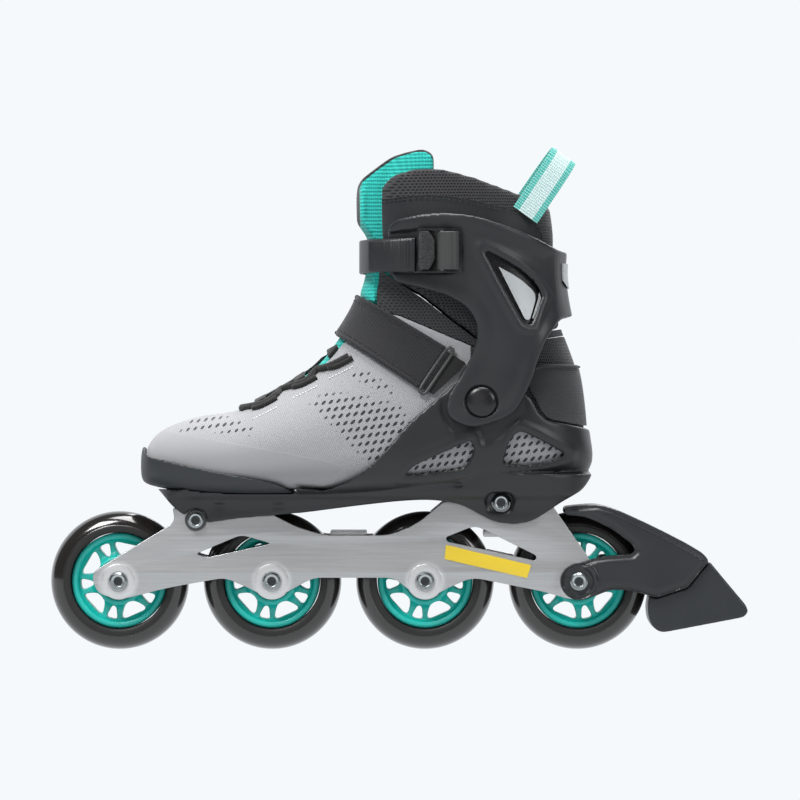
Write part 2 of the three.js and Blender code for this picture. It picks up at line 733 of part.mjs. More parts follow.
function cuffInsert() {
  const middle = { x: 68, z: 124 };
  const smaller = cuffWindow.slice(1).map(([x, z, rounding]) => [
    middle.x + (x - middle.x) * 0.86,
    middle.z + (z - middle.z) * 0.86,
    rounding,
  ]);
  return wall(cuffInner + 0.4, cuffInner + 1.6, smaller, -wide, 0);
}

function reflector() {
  return wall(cuffOuter + gap, cuffOuter + gap + 0.7, [[86, 143], [112, 143], [112, 129], [97, 129]], -18, 18);
}

// Straps

function powerStrap() {
  const region = [strapTop.low, strapTop.high, [-40, 133], [-60, 118], strapFoot.high, strapFoot.low];
  const outerSide = wall(0.8, 0.8 + strapThickness, region, -wide, 0.01);
  const innerSide = [[37, 86.7], ...region.slice(0, -1), [20, 65.6]];
  const shellEdge = bootSkin(shellOuter + gap).intersect(plate(grown(shellOutline), 0, wide));
  return outerSide.add(wall(0.8, 0.8 + strapThickness, innerSide, 0, wide).subtract(shellEdge));
}

// The shell's outline with a clearance around its front edge
function grown(corners) {
  return corners.map(([x, z, rounding]) => [x - 1.2, z + 0.8, rounding]);
}

// A point near the strap's outer end, u along the end and v beyond it
function strapEnd(u, v, rounding) {
  const [x, z] = strapFoot.low;
  const end = new THREE.Vector2(strapTop.low[0] - x, strapTop.low[1] - z);
  const along = end.clone().normalize();
  return [x + along.x * u + along.y * v, z + along.y * u - along.x * v, rounding];
}

const strapWidth = Math.hypot(strapTop.low[0] - strapFoot.low[0], strapTop.low[1] - strapFoot.low[1]);
const ringFar = 6.2;

function strapRing() {
  const rectangle = (end, near, far, rounding) => [
    strapEnd(-end, near, rounding), strapEnd(-end, far, rounding),
    strapEnd(strapWidth + end, far, rounding), strapEnd(strapWidth + end, near, rounding),
  ];
  const body = wall(0.9, 3.3, rectangle(2.2, gap, ringFar, 1.5), -wide, 0);
  return body.subtract(plate(rectangle(0, 2.2, 4.3, 0.5), -wide, 0));
}

function strapAnchor() {
  const start = ringFar + gap;
  const region = [strapEnd(strapWidth - 0.5, start), [38.3, 85.2], [19, 67.4], strapEnd(0.5, start)];
  const body = wall(0.6, 2.2, region, -wide, 0);
  return body.subtract(bootSkin(shellOuter + gap).intersect(plate(grown(shellOutline), -wide, 0)));
}

// A ribbon that follows points in a plane, thick to both sides of them, from low to high across it
function ribbon(points, thickness, low, high, steps = 20) {
  const curve = new THREE.SplineCurve(points.map((p) => new THREE.Vector2(...p)));
  const edges = { left: [], right: [] };
  for (let i = 0; i <= steps; i += 1) {
    const at = curve.getPoint(i / steps);
    const { x, y } = curve.getTangent(i / steps);
    edges.left.push(new THREE.Vector2(at.x - (y * thickness) / 2, at.y + (x * thickness) / 2));
    edges.right.push(new THREE.Vector2(at.x + (y * thickness) / 2, at.y - (x * thickness) / 2));
  }
  return slab(new THREE.Shape([...edges.left, ...edges.right.toReversed()]), low, high);
}

function ladderStrap() {
  const outerEnd = [buckle.x[0] - 1.2, -48.4];
  const path = [
    outerEnd, [0, -44.6], [-9.5, -36.4], [-17.4, -25], [-21.6, -12], [-22.6, 0],
    [-21.6, 12], [-17.4, 25], [-9.5, 36.4], [0, 44.6], [12, 49.8], [26, 51.6],
  ];
  const strap = ribbon(path, ladderThickness, ladderLow, ladderHigh, 26);
  return strap.subtract(rod(4.6, 0, wide, { ...ladderScrewAt, sides: 12 }));
}

const ladderScrewAt = { x: 20, z: (ladderLow + ladderHigh) / 2 };
const ladderScrewSeat = 53.2;

function ladderScrew() {
  const body = rod(4, 50, ladderScrewSeat + 0.5, { ...ladderScrewAt, sides: 12 });
  return body.add(rod(8, ladderScrewSeat, ladderScrewSeat + 1.6, { ...ladderScrewAt, sides: 16 }));
}

// Buckle

const buckle = { x: [9.9, 35.2], z: [136.6, 161.8], back: -52.2, pin: { x: 23.8, y: -55.2 } };

function buckleBase() {
  const { x, z, back, pin } = buckle;
  let body = box(x, [back, -40], z);
  body = body.subtract(bootSkin(cuffOuter + gap));
  const ear = (low) => box([pin.x - 2.6, pin.x + 2.6], [pin.y - 2.4, back + 0.5], [low, low + 1.4]);
  body = join([body, ear(z[0]), ear(z[1] - 1.4)]);
  body = body.subtract(box([x[0] - 1, 20.9], [-wide, back + 0.8], [z[0] + 1.2, z[1] - 1.2]));
  return body.subtract(post(2.4 + 2 * runningGap, z[0] - 1, z[1] + 1, pin.x, pin.y, 12));
}

function bucklePin() {
  return post(2.4, buckle.z[0] + 0.1, buckle.z[1] - 0.1, buckle.pin.x, buckle.pin.y, 12);
}

// The lever is round about its pin, so that it can lift off the base
function buckleLever() {
  const { x, z, back, pin } = buckle;
  const shape = new THREE.Shape();
  const radius = 2.6;
  shape.absarc(pin.x, pin.y, radius, Math.PI / 2, Math.PI * 1.5, false);
  shape.quadraticCurveTo(x[1] - 4, pin.y - radius - 0.8, x[1] - 1.6, pin.y - 0.6);
  shape.lineTo(x[1] - 1.6, back - gap - 0.2);
  const body = slab(shape, z[0] + 1.8, z[1] - 1.8);
  return body.subtract(post(2.4 + 2 * runningGap, 0, 300, pin.x, pin.y, 12));
}

const release = { x: [10.5, 20.4], hinge: { x: 19, y: -54.6 } };

function buckleRelease() {
  const { z, back } = buckle;
  const { x: [left, right], hinge } = release;
  const shape = new THREE.Shape();
  shape.moveTo(left, back - 1.9);
  shape.quadraticCurveTo((left + right) / 2 - 1, back - 5.4, right - 1.6, hinge.y - 2);
  shape.absarc(hinge.x, hinge.y, 1.4, -Math.PI / 2, Math.PI / 2, false);
  shape.lineTo(left + 0.4, back - 1.0);
  return slab(shape, z[0] + 1.6, z[1] - 1.6);
}

// Lace and pull loop

const laceRows = [[-78, 59.7], [-55, 71.8], [-34.5, 83]];

// Flat lace over the tongue: a bar across the throat at each row, with a crossing between the rows
function lace() {
  const across = new THREE.Vector2(24, 12.6).normalize().multiplyScalar(3.6);
  const bar = ([x, z], reach) => {
    const corners = [
      [x - across.x, z - across.y - 4], [x + across.x, z + across.y - 4],
      [x + across.x - 5, z + across.y + 12], [x - across.x - 5, z - across.y + 12],
    ];
    return wall(gap, 1.9, corners, -reach, reach);
  };
  const bars = laceRows.map((row) => bar(row, throatWidth / 2 + 2));
  const links = laceRows.slice(1).map(([x, z], i) => {
    const [fromX, fromZ] = laceRows[i];
    const side = i % 2 ? [6, 12] : [-12, -6];
    const corners = [[fromX, fromZ - 6], [x, z - 6], [x - 6, z + 9], [fromX - 6, fromZ + 9]];
    return wall(gap, 1.7, corners, ...side);
  });
  return join([...bars, ...links]);
}

// A band over the collar's rim: one leg outside the collar and one leg inside it
function pullLoop() {
  const path = [[5.6, -7], [5.6, 8], [4.8, 26], [0, 35.4], [-5.4, 26], [-7.5, 12], [-8.5, 0]];
  const band = geometryOf(ribbon(path, 1.3, -8, 8, 22));
  const lean = THREE.MathUtils.degToRad(37.5);
  const facing = THREE.MathUtils.degToRad(28);
  const out = new THREE.Vector3(Math.sin(facing), -Math.cos(facing), 0);
  const back = new THREE.Vector3(Math.cos(facing), Math.sin(facing), 0);
  const up = back.clone().multiplyScalar(Math.sin(lean)).setZ(Math.cos(lean));
  const side = new THREE.Vector3().crossVectors(out, up);
  const placed = new THREE.Matrix4().makeBasis(out, up, side);
  band.applyMatrix4(placed.setPosition(70.5, -28.5, 176.5));
  const rim = collarRim.map(([x, z]) => [x, z + gap]);
  return solid(band).subtract(wall(-collarWall - gap, gap, [...collarFoot, ...rim]));
}

function addBoot() {
  const boot = new THREE.Group();
  boot.position.z = deckZ;
  skate.add(boot);
  const add = (name, shape, colour) => addPart(name, shape, colour, boot);
  add('sole_shell', shell(), 'black');
  add('toe_bumper', bumper(), 'charcoal');
  add('upper', upper(), 'knit');
  add('ankle_gusset', gusset(), 'mesh');
  add('collar', collar(), 'mesh');
  add('heel_panel', heelPanel(), 'mesh');
  add('footbed', footbed(), 'mesh');
  add('tongue', tongue(), 'teal');
  add('cuff', cuff(), 'charcoal');
  add('cuff_rivet_outer_side', rivet(), 'black');
  add('cuff_rivet_inner_side', mirrored(rivet()), 'black');
  add('cuff_insert_outer_side', cuffInsert(), 'silver');
  add('cuff_insert_inner_side', mirrored(cuffInsert()), 'silver');
  add('reflector', reflector(), 'silver');
  add('buckle_base', buckleBase(), 'black');
  add('buckle_pin', bucklePin(), 'steel');
  add('buckle_lever', buckleLever(), 'charcoal');
  add('buckle_release', buckleRelease(), 'black');
  add('ladder_strap', ladderStrap(), 'black');
  add('ladder_screw', ladderScrew(), 'steel');
  add('power_strap', powerStrap(), 'mesh');
  add('strap_ring', strapRing(), 'charcoal');
  add('strap_anchor', strapAnchor(), 'mesh');
  add('lace', lace(), 'mesh');
  add('pull_loop', pullLoop(), 'teal');
}

// Brake

const brakeInside = railOutside + gap;
const brakeOutside = brakeInside + brakePlate;

// A drawn point of the brake: what lies behind the wheel moves back and what lies over it moves up
// as the wheel grows
function brakePoint([x, z, rounding]) {
  const behind = x > drawnLastAxleX + drawnRadius - 12;
  const over = z > drawnRadius + 25 && x < drawnLastAxleX + drawnRadius + 10;
  const back = behind ? wheelGrowth : 0;
  const up = over ? wheelGrowth : 0;
  return [x - drawnLastAxleX + lastAxleX + back, z + wheelGrowth + up, rounding];
}

function brakeOutline() {
  return [
    [95, 82.6], [103.1, 83.6, 4], [113.5, 84.4, 5], [123.7, 81.8, 5], [136.2, 76.3, 6], [150.9, 69.3, 6],
    [165.7, 61.6, 5], [174.6, 56.2, 3], [178.4, 51.7, 2], [165.7, 36.2], [147.6, 30.4, 2],
    [133.3, 34.6, 4], [121.5, 35.3, 4], [112.7, 31.5, 4], [103, 28.3, 7], [94, 32.5, 6], [92.2, 40, 6],
    [95.5, 48, 5], [104, 51, 3], [112.7, 53.9, 3], [121.5, 54.9, 3], [133.3, 55.7, 1], [135.5, 57.9, 1],
    [133.3, 61.6, 2], [121.5, 70.4, 5], [106.8, 77.2, 5], [95, 78.2],
  ].map(brakePoint);
}

function brakeArm() {
  const turn = { x: lastAxleX, z: axleZ };
  let body = plate(brakeOutline(), -brakeOutside, brakeOutside);
  const eye = rod(21.4, brakeInside, brakeOutside + 1.6, { ...turn, sides: 24 });
  body = join([body, eye, mirrored(eye)]);
  body = body.subtract(rod(wheelDiameter + 2 * wheelWell, -railInside + gap, railInside - gap, { ...turn, sides: 40 }));
  const channelEnd = lastAxleX + 13;
  const channel = box([lastAxleX - 20, channelEnd], [-brakeInside, brakeInside], [0, deckZ - 3]);
  body = body.subtract(channel);
  const trim = box([channelEnd - 1, lastAxleX + 90 + wheelGrowth], [brakeBodyWidth / 2, wide], [0, deckZ + 20]);
  const taper = trim.rotate(0, 0, 5).translate(12, -8, 0);
  body = body.subtract(taper).subtract(mirrored(taper));
  body = body.subtract(rod(axleDiameter + 2 * runningGap, -wide, wide, turn));
  const recess = rod(17, brakeOutside, wide, { ...turn, sides: 24 });
  body = body.subtract(recess).subtract(mirrored(recess));
  return body.subtract(brakeScrew(gap));
}

function brakePad() {
  const corners = [
    [147.6, 30], [143.9, 31.3, 1], [142.8, 24.8, 4], [143.6, 17.5, 3], [146.5, 12.7, 2], [150.2, 10.5, 2],
    [153.2, 10.5, 1], [198.6, 18.9, 2], [201.2, 22, 1.5], [200, 25.8, 3], [192.1, 35.1, 5], [178.7, 51.2],
    [165.9, 35.8],
  ].map(brakePoint);
  return plate(corners, -14, 14).subtract(brakeScrew(gap));
}

// The pad's screw runs down into it from the arm
function brakeScrew(extra = 0) {
  const geometry = new THREE.CylinderGeometry(brakeScrewDiameter / 2 + extra, brakeScrewDiameter / 2 + extra, 30 + extra, 12);
  const head = new THREE.CylinderGeometry(5 + extra, 5 + extra, 12 + 2 * extra, 16);
  head.translate(0, 19, 0);
  const screw = solid(geometry).add(solid(head));
  const tilt = 38;
  return screw.rotate(-90 - tilt + 180, 0, 0).rotate(0, 0, 90).translate(lastAxleX + 62 + wheelGrowth, 0, axleZ + 0.5);
}

function addBrake() {
  addPart('brake_arm', brakeArm(), 'charcoal');
  addPart('brake_pad', brakePad(), 'rubber');
  addPart('brake_screw', brakeScrew(), 'steel');
}

addWheels();
addFrame();
addBoot();
addBrake();

export default skate;
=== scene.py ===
import math

import bpy
from mathutils import Matrix, Vector
from mathutils.bvhtree import BVHTree


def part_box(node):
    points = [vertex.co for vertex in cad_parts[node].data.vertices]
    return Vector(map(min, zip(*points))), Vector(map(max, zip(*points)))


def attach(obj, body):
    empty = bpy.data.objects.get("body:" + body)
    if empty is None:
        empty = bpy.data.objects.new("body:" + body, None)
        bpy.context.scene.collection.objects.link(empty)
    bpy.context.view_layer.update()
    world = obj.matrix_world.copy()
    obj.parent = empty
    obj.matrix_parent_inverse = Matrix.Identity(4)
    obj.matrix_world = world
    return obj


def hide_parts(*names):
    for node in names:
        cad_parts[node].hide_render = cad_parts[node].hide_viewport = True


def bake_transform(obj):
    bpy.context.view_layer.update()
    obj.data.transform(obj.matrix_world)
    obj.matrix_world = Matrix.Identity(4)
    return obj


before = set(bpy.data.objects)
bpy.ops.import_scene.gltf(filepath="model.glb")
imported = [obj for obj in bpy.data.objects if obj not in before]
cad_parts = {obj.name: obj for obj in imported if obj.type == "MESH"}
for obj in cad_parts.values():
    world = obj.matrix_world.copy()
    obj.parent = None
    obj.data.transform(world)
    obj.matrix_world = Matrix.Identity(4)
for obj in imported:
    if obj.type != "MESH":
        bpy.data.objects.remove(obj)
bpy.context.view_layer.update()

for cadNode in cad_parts.values():
    cadNode.select_set(False)

mm = 0.001
root = "boot_and_frame"
print("frame loaded")

# places read from the frame, in mm
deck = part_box("tyre_1")[1].z / mm
tyreBoxes = [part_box(f"tyre_{n}") for n in (1, 2, 3, 4)]
axles = [(low.x + high.x) / 2 / mm for low, high in tyreBoxes]
axleHeight = deck / 2
pitch = axles[1] - axles[0]


# small helpers for making pieces


def deselect():
    if bpy.context.object and bpy.context.object.mode != "OBJECT":
        bpy.ops.object.mode_set(mode="OBJECT")
    bpy.ops.object.select_all(action="DESELECT")


def activate(piece):
    deselect()
    piece.select_set(True)
    bpy.context.view_layer.objects.active = piece


def meshPiece(name, points, faces, edges=()):
    # points are in mm
    data = bpy.data.meshes.new(name)
    data.from_pydata([Vector(p) * mm for p in points], list(edges), faces)
    piece = bpy.data.objects.new(name, data)
    bpy.context.scene.collection.objects.link(piece)
    return piece


def modify(piece, kind, **settings):
    modifier = piece.modifiers.new(kind.lower(), kind)
    for key, value in settings.items():
        setattr(modifier, key, value)
    activate(piece)
    bpy.ops.object.modifier_apply(modifier=modifier.name)
    return piece


def remove(piece):
    data = piece.data
    bpy.data.objects.remove(piece)
    if data.users == 0 and isinstance(data, bpy.types.Mesh):
        bpy.data.meshes.remove(data)


def cut(piece, cutter, operation="DIFFERENCE"):
    modify(piece, "BOOLEAN", operation=operation, object=cutter, solver="EXACT")
    remove(cutter)
    return piece


def copyOf(piece, name):
    made = piece.copy()
    made.data = piece.data.copy()
    made.name = name
    bpy.context.scene.collection.objects.link(made)
    return made


def joined(name, pieces):
    deselect()
    for piece in pieces:
        piece.select_set(True)
    bpy.context.view_layer.objects.active = pieces[0]
    if len(pieces) > 1:
        bpy.ops.object.join()
    made = bpy.context.view_layer.objects.active
    made.name = name
    made.data.name = name
    return made


def moved(piece, x=0, y=0, z=0):
    piece.data.transform(Matrix.Translation(Vector((x, y, z)) * mm))
    return piece


def mirroredCopy(piece, name):
    made = copyOf(piece, name)
    made.data.transform(Matrix.Scale(-1, 4, (0, 1, 0)))
    made.data.flip_normals()
    return made


def facesOut(piece):
    activate(piece)
    bpy.ops.object.mode_set(mode="EDIT")
    bpy.ops.mesh.select_all(action="SELECT")
    bpy.ops.mesh.remove_doubles(threshold=0.01 * mm)
    bpy.ops.mesh.normals_make_consistent(inside=False)
    bpy.ops.object.mode_set(mode="OBJECT")
    return piece


def smooth(piece, angle):
    activate(piece)
    bpy.ops.object.shade_smooth_by_angle(angle=math.radians(angle))
    return piece


def soften(piece, voxel, rounds):
    # one even skin over the cut solid, with its edges rounded off
    modify(piece, "REMESH", mode="VOXEL", voxel_size=voxel * mm)
    modify(piece, "SMOOTH", factor=0.5, iterations=rounds)
    activate(piece)
    bpy.ops.object.shade_smooth()
    return piece


def dress(piece, material):
    piece.data.materials.clear()
    piece.data.materials.append(material)
    return piece


def finishPiece(piece, body, slot, material, *nodes):
    dress(piece, material)
    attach(piece, body)
    if nodes:
        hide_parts(*nodes)
    deselect()
    return piece


def edgeDistance(x, z, loop, closed=True):
    # distance in mm from a point of the side view to a line, and whether the point is inside it
    best, inside = 1e9, False
    count = len(loop)
    for i in range(count if closed else count - 1):
        (ax, az), (bx, bz) = loop[i], loop[(i + 1) % count]
        dx, dz = bx - ax, bz - az
        share = min(1, max(0, ((x - ax) * dx + (z - az) * dz) / (dx * dx + dz * dz + 1e-9)))
        best = min(best, math.hypot(x - ax - share * dx, z - az - share * dz))
        if (az > z) != (bz > z) and x < ax + (z - az) * dx / (bz - az):
            inside = not inside
    return best, inside


def paint(piece, name, value):
    # a number on each vertex, worked out from its place in mm
    layer = piece.data.attributes.new(name, "FLOAT", "POINT")
    for vertex in piece.data.vertices:
        layer.data[vertex.index].value = value(vertex.co / mm)
    return piece


def raisedRim(piece, loops, height, start, end, lift):
    # raises or lowers the outer face near some lines of the side view, fading out from start to end
    least, fade = 0.35, 0.3
    moves = []
    for vertex in piece.data.vertices:
        outward = vertex.normal.y * (1 if vertex.co.y > 0 else -1)
        if outward < least:
            moves.append(None)
            continue
        x, z = vertex.co.x / mm, vertex.co.z / mm - lift
        near = min(edgeDistance(x, z, loop)[0] for loop in loops)
        share = (1 - smoothStep(near, start, end)) * min(1, (outward - least) / fade)
        moves.append(vertex.normal * height * mm * share)
    for vertex, move in zip(piece.data.vertices, moves):
        if move is not None:
            vertex.co += move
    return modify(piece, "SMOOTH", factor=0.5, iterations=3)


def outline(corners, steps=6):
    # corners are [u, v, rounding]; a rounding takes at most 0.46 of each side
    made = []
    count = len(corners)
    for i, corner in enumerate(corners):
        at = Vector(corner[:2])
        before, after = Vector(corners[i - 1][:2]), Vector(corners[(i + 1) % count][:2])
        rounding = corner[2] if len(corner) > 2 else 0
        if rounding <= 0:
            made.append(at)
            continue
        back, on = before - at, after - at
        start = at + back.normalized() * min(rounding, 0.46 * back.length)
        end = at + on.normalized() * min(rounding, 0.46 * on.length)
        for k in range(steps + 1):
            t = k / steps
            made.append(start * (1 - t) ** 2 + at * 2 * t * (1 - t) + end * t ** 2)
    return made


def prism(name, corners, low, high, axis="Y", lift=0):
    # an outline pushed from low to high along an axis
    flat = outline(corners)
    count = len(flat)
    place = {
        "Y": lambda u, v, w: (u, w, v + lift),
        "Z": lambda u, v, w: (u, v, w + lift),
        "X": lambda u, v, w: (w, u, v + lift),
    }[axis]
    points = [place(p.x, p.y, low) for p in flat] + [place(p.x, p.y, high) for p in flat]
    faces = [list(range(count)), list(range(2 * count - 1, count - 1, -1))]
    faces += [(i, count + i, count + (i + 1) % count, (i + 1) % count) for i in range(count)]
    return facesOut(meshPiece(name, points, faces))


def block(name, x, y, z):
    corners = [[x[0], y[0]], [x[1], y[0]], [x[1], y[1]], [x[0], y[1]]]
    return prism(name, corners, z[0], z[1], axis="Z")


def cylinder(name, radius, low, high, x=0, z=0, sides=64):
    deselect()
    bpy.ops.mesh.primitive_cylinder_add(
        vertices=sides, radius=radius * mm, depth=(high - low) * mm,
        location=Vector((x, (low + high) / 2, z)) * mm, rotation=(math.pi / 2, 0, 0))
    made = bpy.context.object
    made.name = name
    bpy.ops.object.transform_apply(location=True, rotation=True, scale=True)
    return made


def spun(name, profile, x=0, y=0, z=0, steps=96):
    # a closed profile of (radius, along y) turned about the axle
    points = [(radius, along, 0) for radius, along in profile]
    edges = [(i, (i + 1) % len(points)) for i in range(len(points))]
    made = meshPiece(name, points, [], edges)
    activate(made)
    bpy.ops.object.mode_set(mode="EDIT")
    bpy.ops.mesh.select_all(action="SELECT")
    bpy.ops.mesh.spin(steps=steps, angle=2 * math.pi, center=(0, 0, 0), axis=(0, 1, 0))
    bpy.ops.object.mode_set(mode="OBJECT")
    facesOut(made)
    return moved(made, x, y, z)


def plate(name, corners, low, high, bevel, holes=()):
    # a flat plate in the side plane with rounded edges, made from a filled curve
    data = bpy.data.curves.new(name, "CURVE")
    data.dimensions = "2D"
    data.fill_mode = "BOTH"
    data.bevel_depth = bevel * mm
    data.bevel_resolution = 2
    data.offset = -bevel * mm
    data.extrude = (abs(high - low) / 2 - bevel) * mm
    for loop in (outline(each, 8) for each in (corners, *holes)):
        spline = data.splines.new("POLY")
        spline.points.add(len(loop) - 1)
        for point, at in zip(spline.points, loop):
            point.co = (at.x * mm, at.y * mm, 0, 1)
        spline.use_cyclic_u = True
    made = bpy.data.objects.new(name, data)
    bpy.context.scene.collection.objects.link(made)
    activate(made)
    bpy.ops.object.convert(target="MESH")
    made = bpy.context.object
    made.data.transform(Matrix.Rotation(math.pi / 2, 4, "X"))
    facesOut(made)
    return moved(made, y=(low + high) / 2)


def tube(name, points, radius, closed=False, sides=3):
    # a round bar along a line of points
    data = bpy.data.curves.new(name, "CURVE")
    data.dimensions = "3D"
    data.bevel_depth = radius * mm
    data.bevel_resolution = sides
    data.use_fill_caps = True
    spline = data.splines.new("POLY")
    spline.points.add(len(points) - 1)
    for point, at in zip(spline.points, points):
        point.co = (*(Vector(at) * mm), 1)
    spline.use_cyclic_u = closed
    made = bpy.data.objects.new(name, data)
    bpy.context.scene.collection.objects.link(made)
    activate(made)
    bpy.ops.object.convert(target="MESH")
    made = bpy.context.object
    facesOut(made)
    activate(made)
    bpy.ops.object.shade_smooth()
    return made


def smoothLine(points, step, closed=False):
    # a smooth line through a few points, resampled evenly
    given = [Vector(p) for p in points]
    count = len(given)
    made = []
    spans = count if closed else count - 1
    for i in range(spans):
        if closed:
            a, b, c, d = (given[(i + k) % count] for k in (-1, 0, 1, 2))
        else:
            b, c = given[i], given[i + 1]
            a = given[i - 1] if i else b * 2 - c
            d = given[i + 2] if i + 2 < count else c * 2 - b
        parts = max(1, round((c - b).length / step))
        for k in range(parts):
            t = k / parts
            made.append(0.5 * (2 * b + (c - a) * t + (2 * a - 5 * b + 4 * c - d) * t * t
                               + (3 * b - a - 3 * c + d) * t ** 3))
    if not closed:
        made.append(given[-1])
    return made


# the boot's surface, lofted through the same sections as the frame's soft boot
bootSections = [
    # front or top point, back or sole point, half width, shift to the inner side
    ((-147.3, 33), (-147.3, 23), 9, 4), ((-146, 37.5), (-146, 18.5), 20, 4),
    ((-141.5, 44), (-141.5, 16.3), 29.5, 4), ((-132, 49.8), (-132, 14.8), 37.5, 3.5),
    ((-116, 54.8), (-116, 13.2), 43.5, 2.5), ((-93, 58.8), (-93, 12.5), 47.5, 1),
    ((-70, 70), (-58, 12.5), 48, 0), ((-48.5, 84), (-18, 12.7), 45, 0),
    ((-36, 100), (30, 14), 41, 0), ((-26, 116), (78, 17), 37.5, 0),
    ((-19.5, 132), (106, 25), 36, 0), ((-17.5, 144), (106.5, 48), 36, 0),
    ((-17, 156), (102.5, 80), 38, 0), ((-17, 167), (93, 108), 40, 0),
    ((-17, 176), (88.5, 135), 41, 0), ((-16.5, 184), (89.3, 158), 41, 0),
    ((-15.5, 192), (87.5, 174), 40.5, 0), ((-14.5, 200), (85.5, 187), 40, 0),
    ((-14, 214), (83, 207), 40, 0),
]
skinDetail = {"rings": 110, "points": 96}


def sectionLine(pick):
    given = [Vector((*pick(section), 0)[:3]) for section in bootSections]
    last = len(given) - 1

    def at(share):
        place = share * last
        i = min(int(place), last - 1)
        t = place - i
        b, c = given[i], given[i + 1]
        a = given[i - 1] if i else b * 2 - c
        d = given[i + 2] if i + 2 <= last else c * 2 - b
        return 0.5 * (2 * b + (c - a) * t + (2 * a - 5 * b + 4 * c - d) * t * t
                      + (3 * b - a - 3 * c + d) * t ** 3)
    return at


frontLine = sectionLine(lambda s: s[0])
backLine = sectionLine(lambda s: s[1])
widthLine = sectionLine(lambda s: (s[2], s[3]))


def smoothStep(value, low, high):
    t = min(1, max(0, (value - low) / (high - low)))
    return t * t * (3 - 2 * t)


def ring(share, count):
    front, back, width = frontLine(share), backLine(share), widthLine(share)
    leg = smoothStep(share, 0.36, 0.66)
    middle = 0.38 + 0.12 * leg
    made = []
    for i in range(count):
        turn = 2 * math.pi * i / count
        up, out = math.sin(turn), math.cos(turn)
        power = 2 / (2.2 if up > 0 else 3.2 - leg)
        reach = (1 - middle) if up > 0 else middle
        rise = math.copysign(abs(up) ** power, up) * reach
        side = math.copysign(abs(out) ** power, out) * width.x + width.y
        flat = back.lerp(front, middle + rise)
        made.append(Vector((flat.x, side, flat.y)))
    return made


ringTotal, ringSize = skinDetail["rings"], skinDetail["points"]
rings = [ring(i / (ringTotal - 1), ringSize) for i in range(ringTotal)]
skins = {}


def skin(offset):
    # the boot's surface moved outwards by offset, as a closed mesh with its place on the deck
    if offset in skins:
        made = copyOf(skins[offset], "skin")
        made.hide_render = False
        return made
    points = []
    for i, loop in enumerate(rings):
        before, after = rings[max(i - 1, 0)], rings[min(i + 1, ringTotal - 1)]
        for j, point in enumerate(loop):
            along = after[j] - before[j]
            around = loop[(j + 1) % ringSize] - loop[j - 1]
            normal = around.cross(along).normalized()
            if i == 0:
                normal = (normal + Vector((-1, 0, 0))).normalized()
            points.append(point + normal * offset + Vector((0, 0, deck)))
    middle = sum(points[:ringSize], Vector()) / ringSize
    top = sum(points[-ringSize:], Vector()) / ringSize
    points += [middle, top]
    toe, crown = len(points) - 2, len(points) - 1
    faces = []
    for j in range(ringSize):
        k = (j + 1) % ringSize
        last = (ringTotal - 1) * ringSize
        faces += [(toe, k, j), (crown, last + j, last + k)]
        for i in range(ringTotal - 1):
            a, b = i * ringSize, (i + 1) * ringSize
            faces.append((a + j, a + k, b + k, b + j))
    stored = facesOut(meshPiece(f"skin{offset}", points, faces))
    stored.hide_render = True
    skins[offset] = stored
    return skin(offset)


def wall(name, inner, outer, corners, low=-90, high=90):
    # the part of the boot's wall between two offsets that a side outline covers
    made = prism(name, corners, low, high, lift=deck)
    cut(made, skin(outer), "INTERSECT")
    return cut(made, skin(inner))


def surfaceTree():
    made = skin(0.0)
    tree = BVHTree.FromPolygons([v.co for v in made.data.vertices],
                                [tuple(p.vertices) for p in made.data.polygons])
    remove(made)
    return tree


bootTree = surfaceTree()


def onSkin(x, z, offset, side):
    # the point of the boot's surface that shows at x, z from one side, in mm
    start = Vector((x, side * 200, z + deck)) * mm
    hit, normal, _, _ = bootTree.ray_cast(start, Vector((0, -side, 0)))
    if hit is None:
        hit, normal, _, _ = bootTree.find_nearest(Vector((x, 0, z + deck)) * mm)
    return hit / mm + normal * offset * (1 if normal.y * side >= 0 else -1)


def skinLine(points, offset, side, step=2.0, closed=False):
    # a smooth line drawn in the side view and laid on the boot's surface
    return [onSkin(p.x, p.y, offset, side) for p in smoothLine([(x, z) for x, z in points], step, closed)]


print("boot surface lofted")


# materials


class Value:
    # a socket that can be used in sums
    def __init__(self, look, socket):
        self.look, self.socket = look, socket

    def maths(self, operation, *others):
        return self.look.node("ShaderNodeMath", {"operation": operation}, dict(enumerate((self, *others))))

    def __add__(self, other):
        return self.maths("ADD", other)

    __radd__ = __add__

    def __mul__(self, other):
        return self.maths("MULTIPLY", other)

    __rmul__ = __mul__

    def __sub__(self, other):
        return self.maths("SUBTRACT", other)

    def __rsub__(self, other):
        return self * -1 + other

    def __truediv__(self, other):
        return self.maths("DIVIDE", other)

    def __mod__(self, other):
        return self.maths("FLOORED_MODULO", other)

    def __abs__(self):
        return self.maths("ABSOLUTE")

    def sin(self):
        return self.maths("SINE")

    def floor(self):
        return self.maths("FLOOR")

    def root(self):
        return self.maths("SQRT")


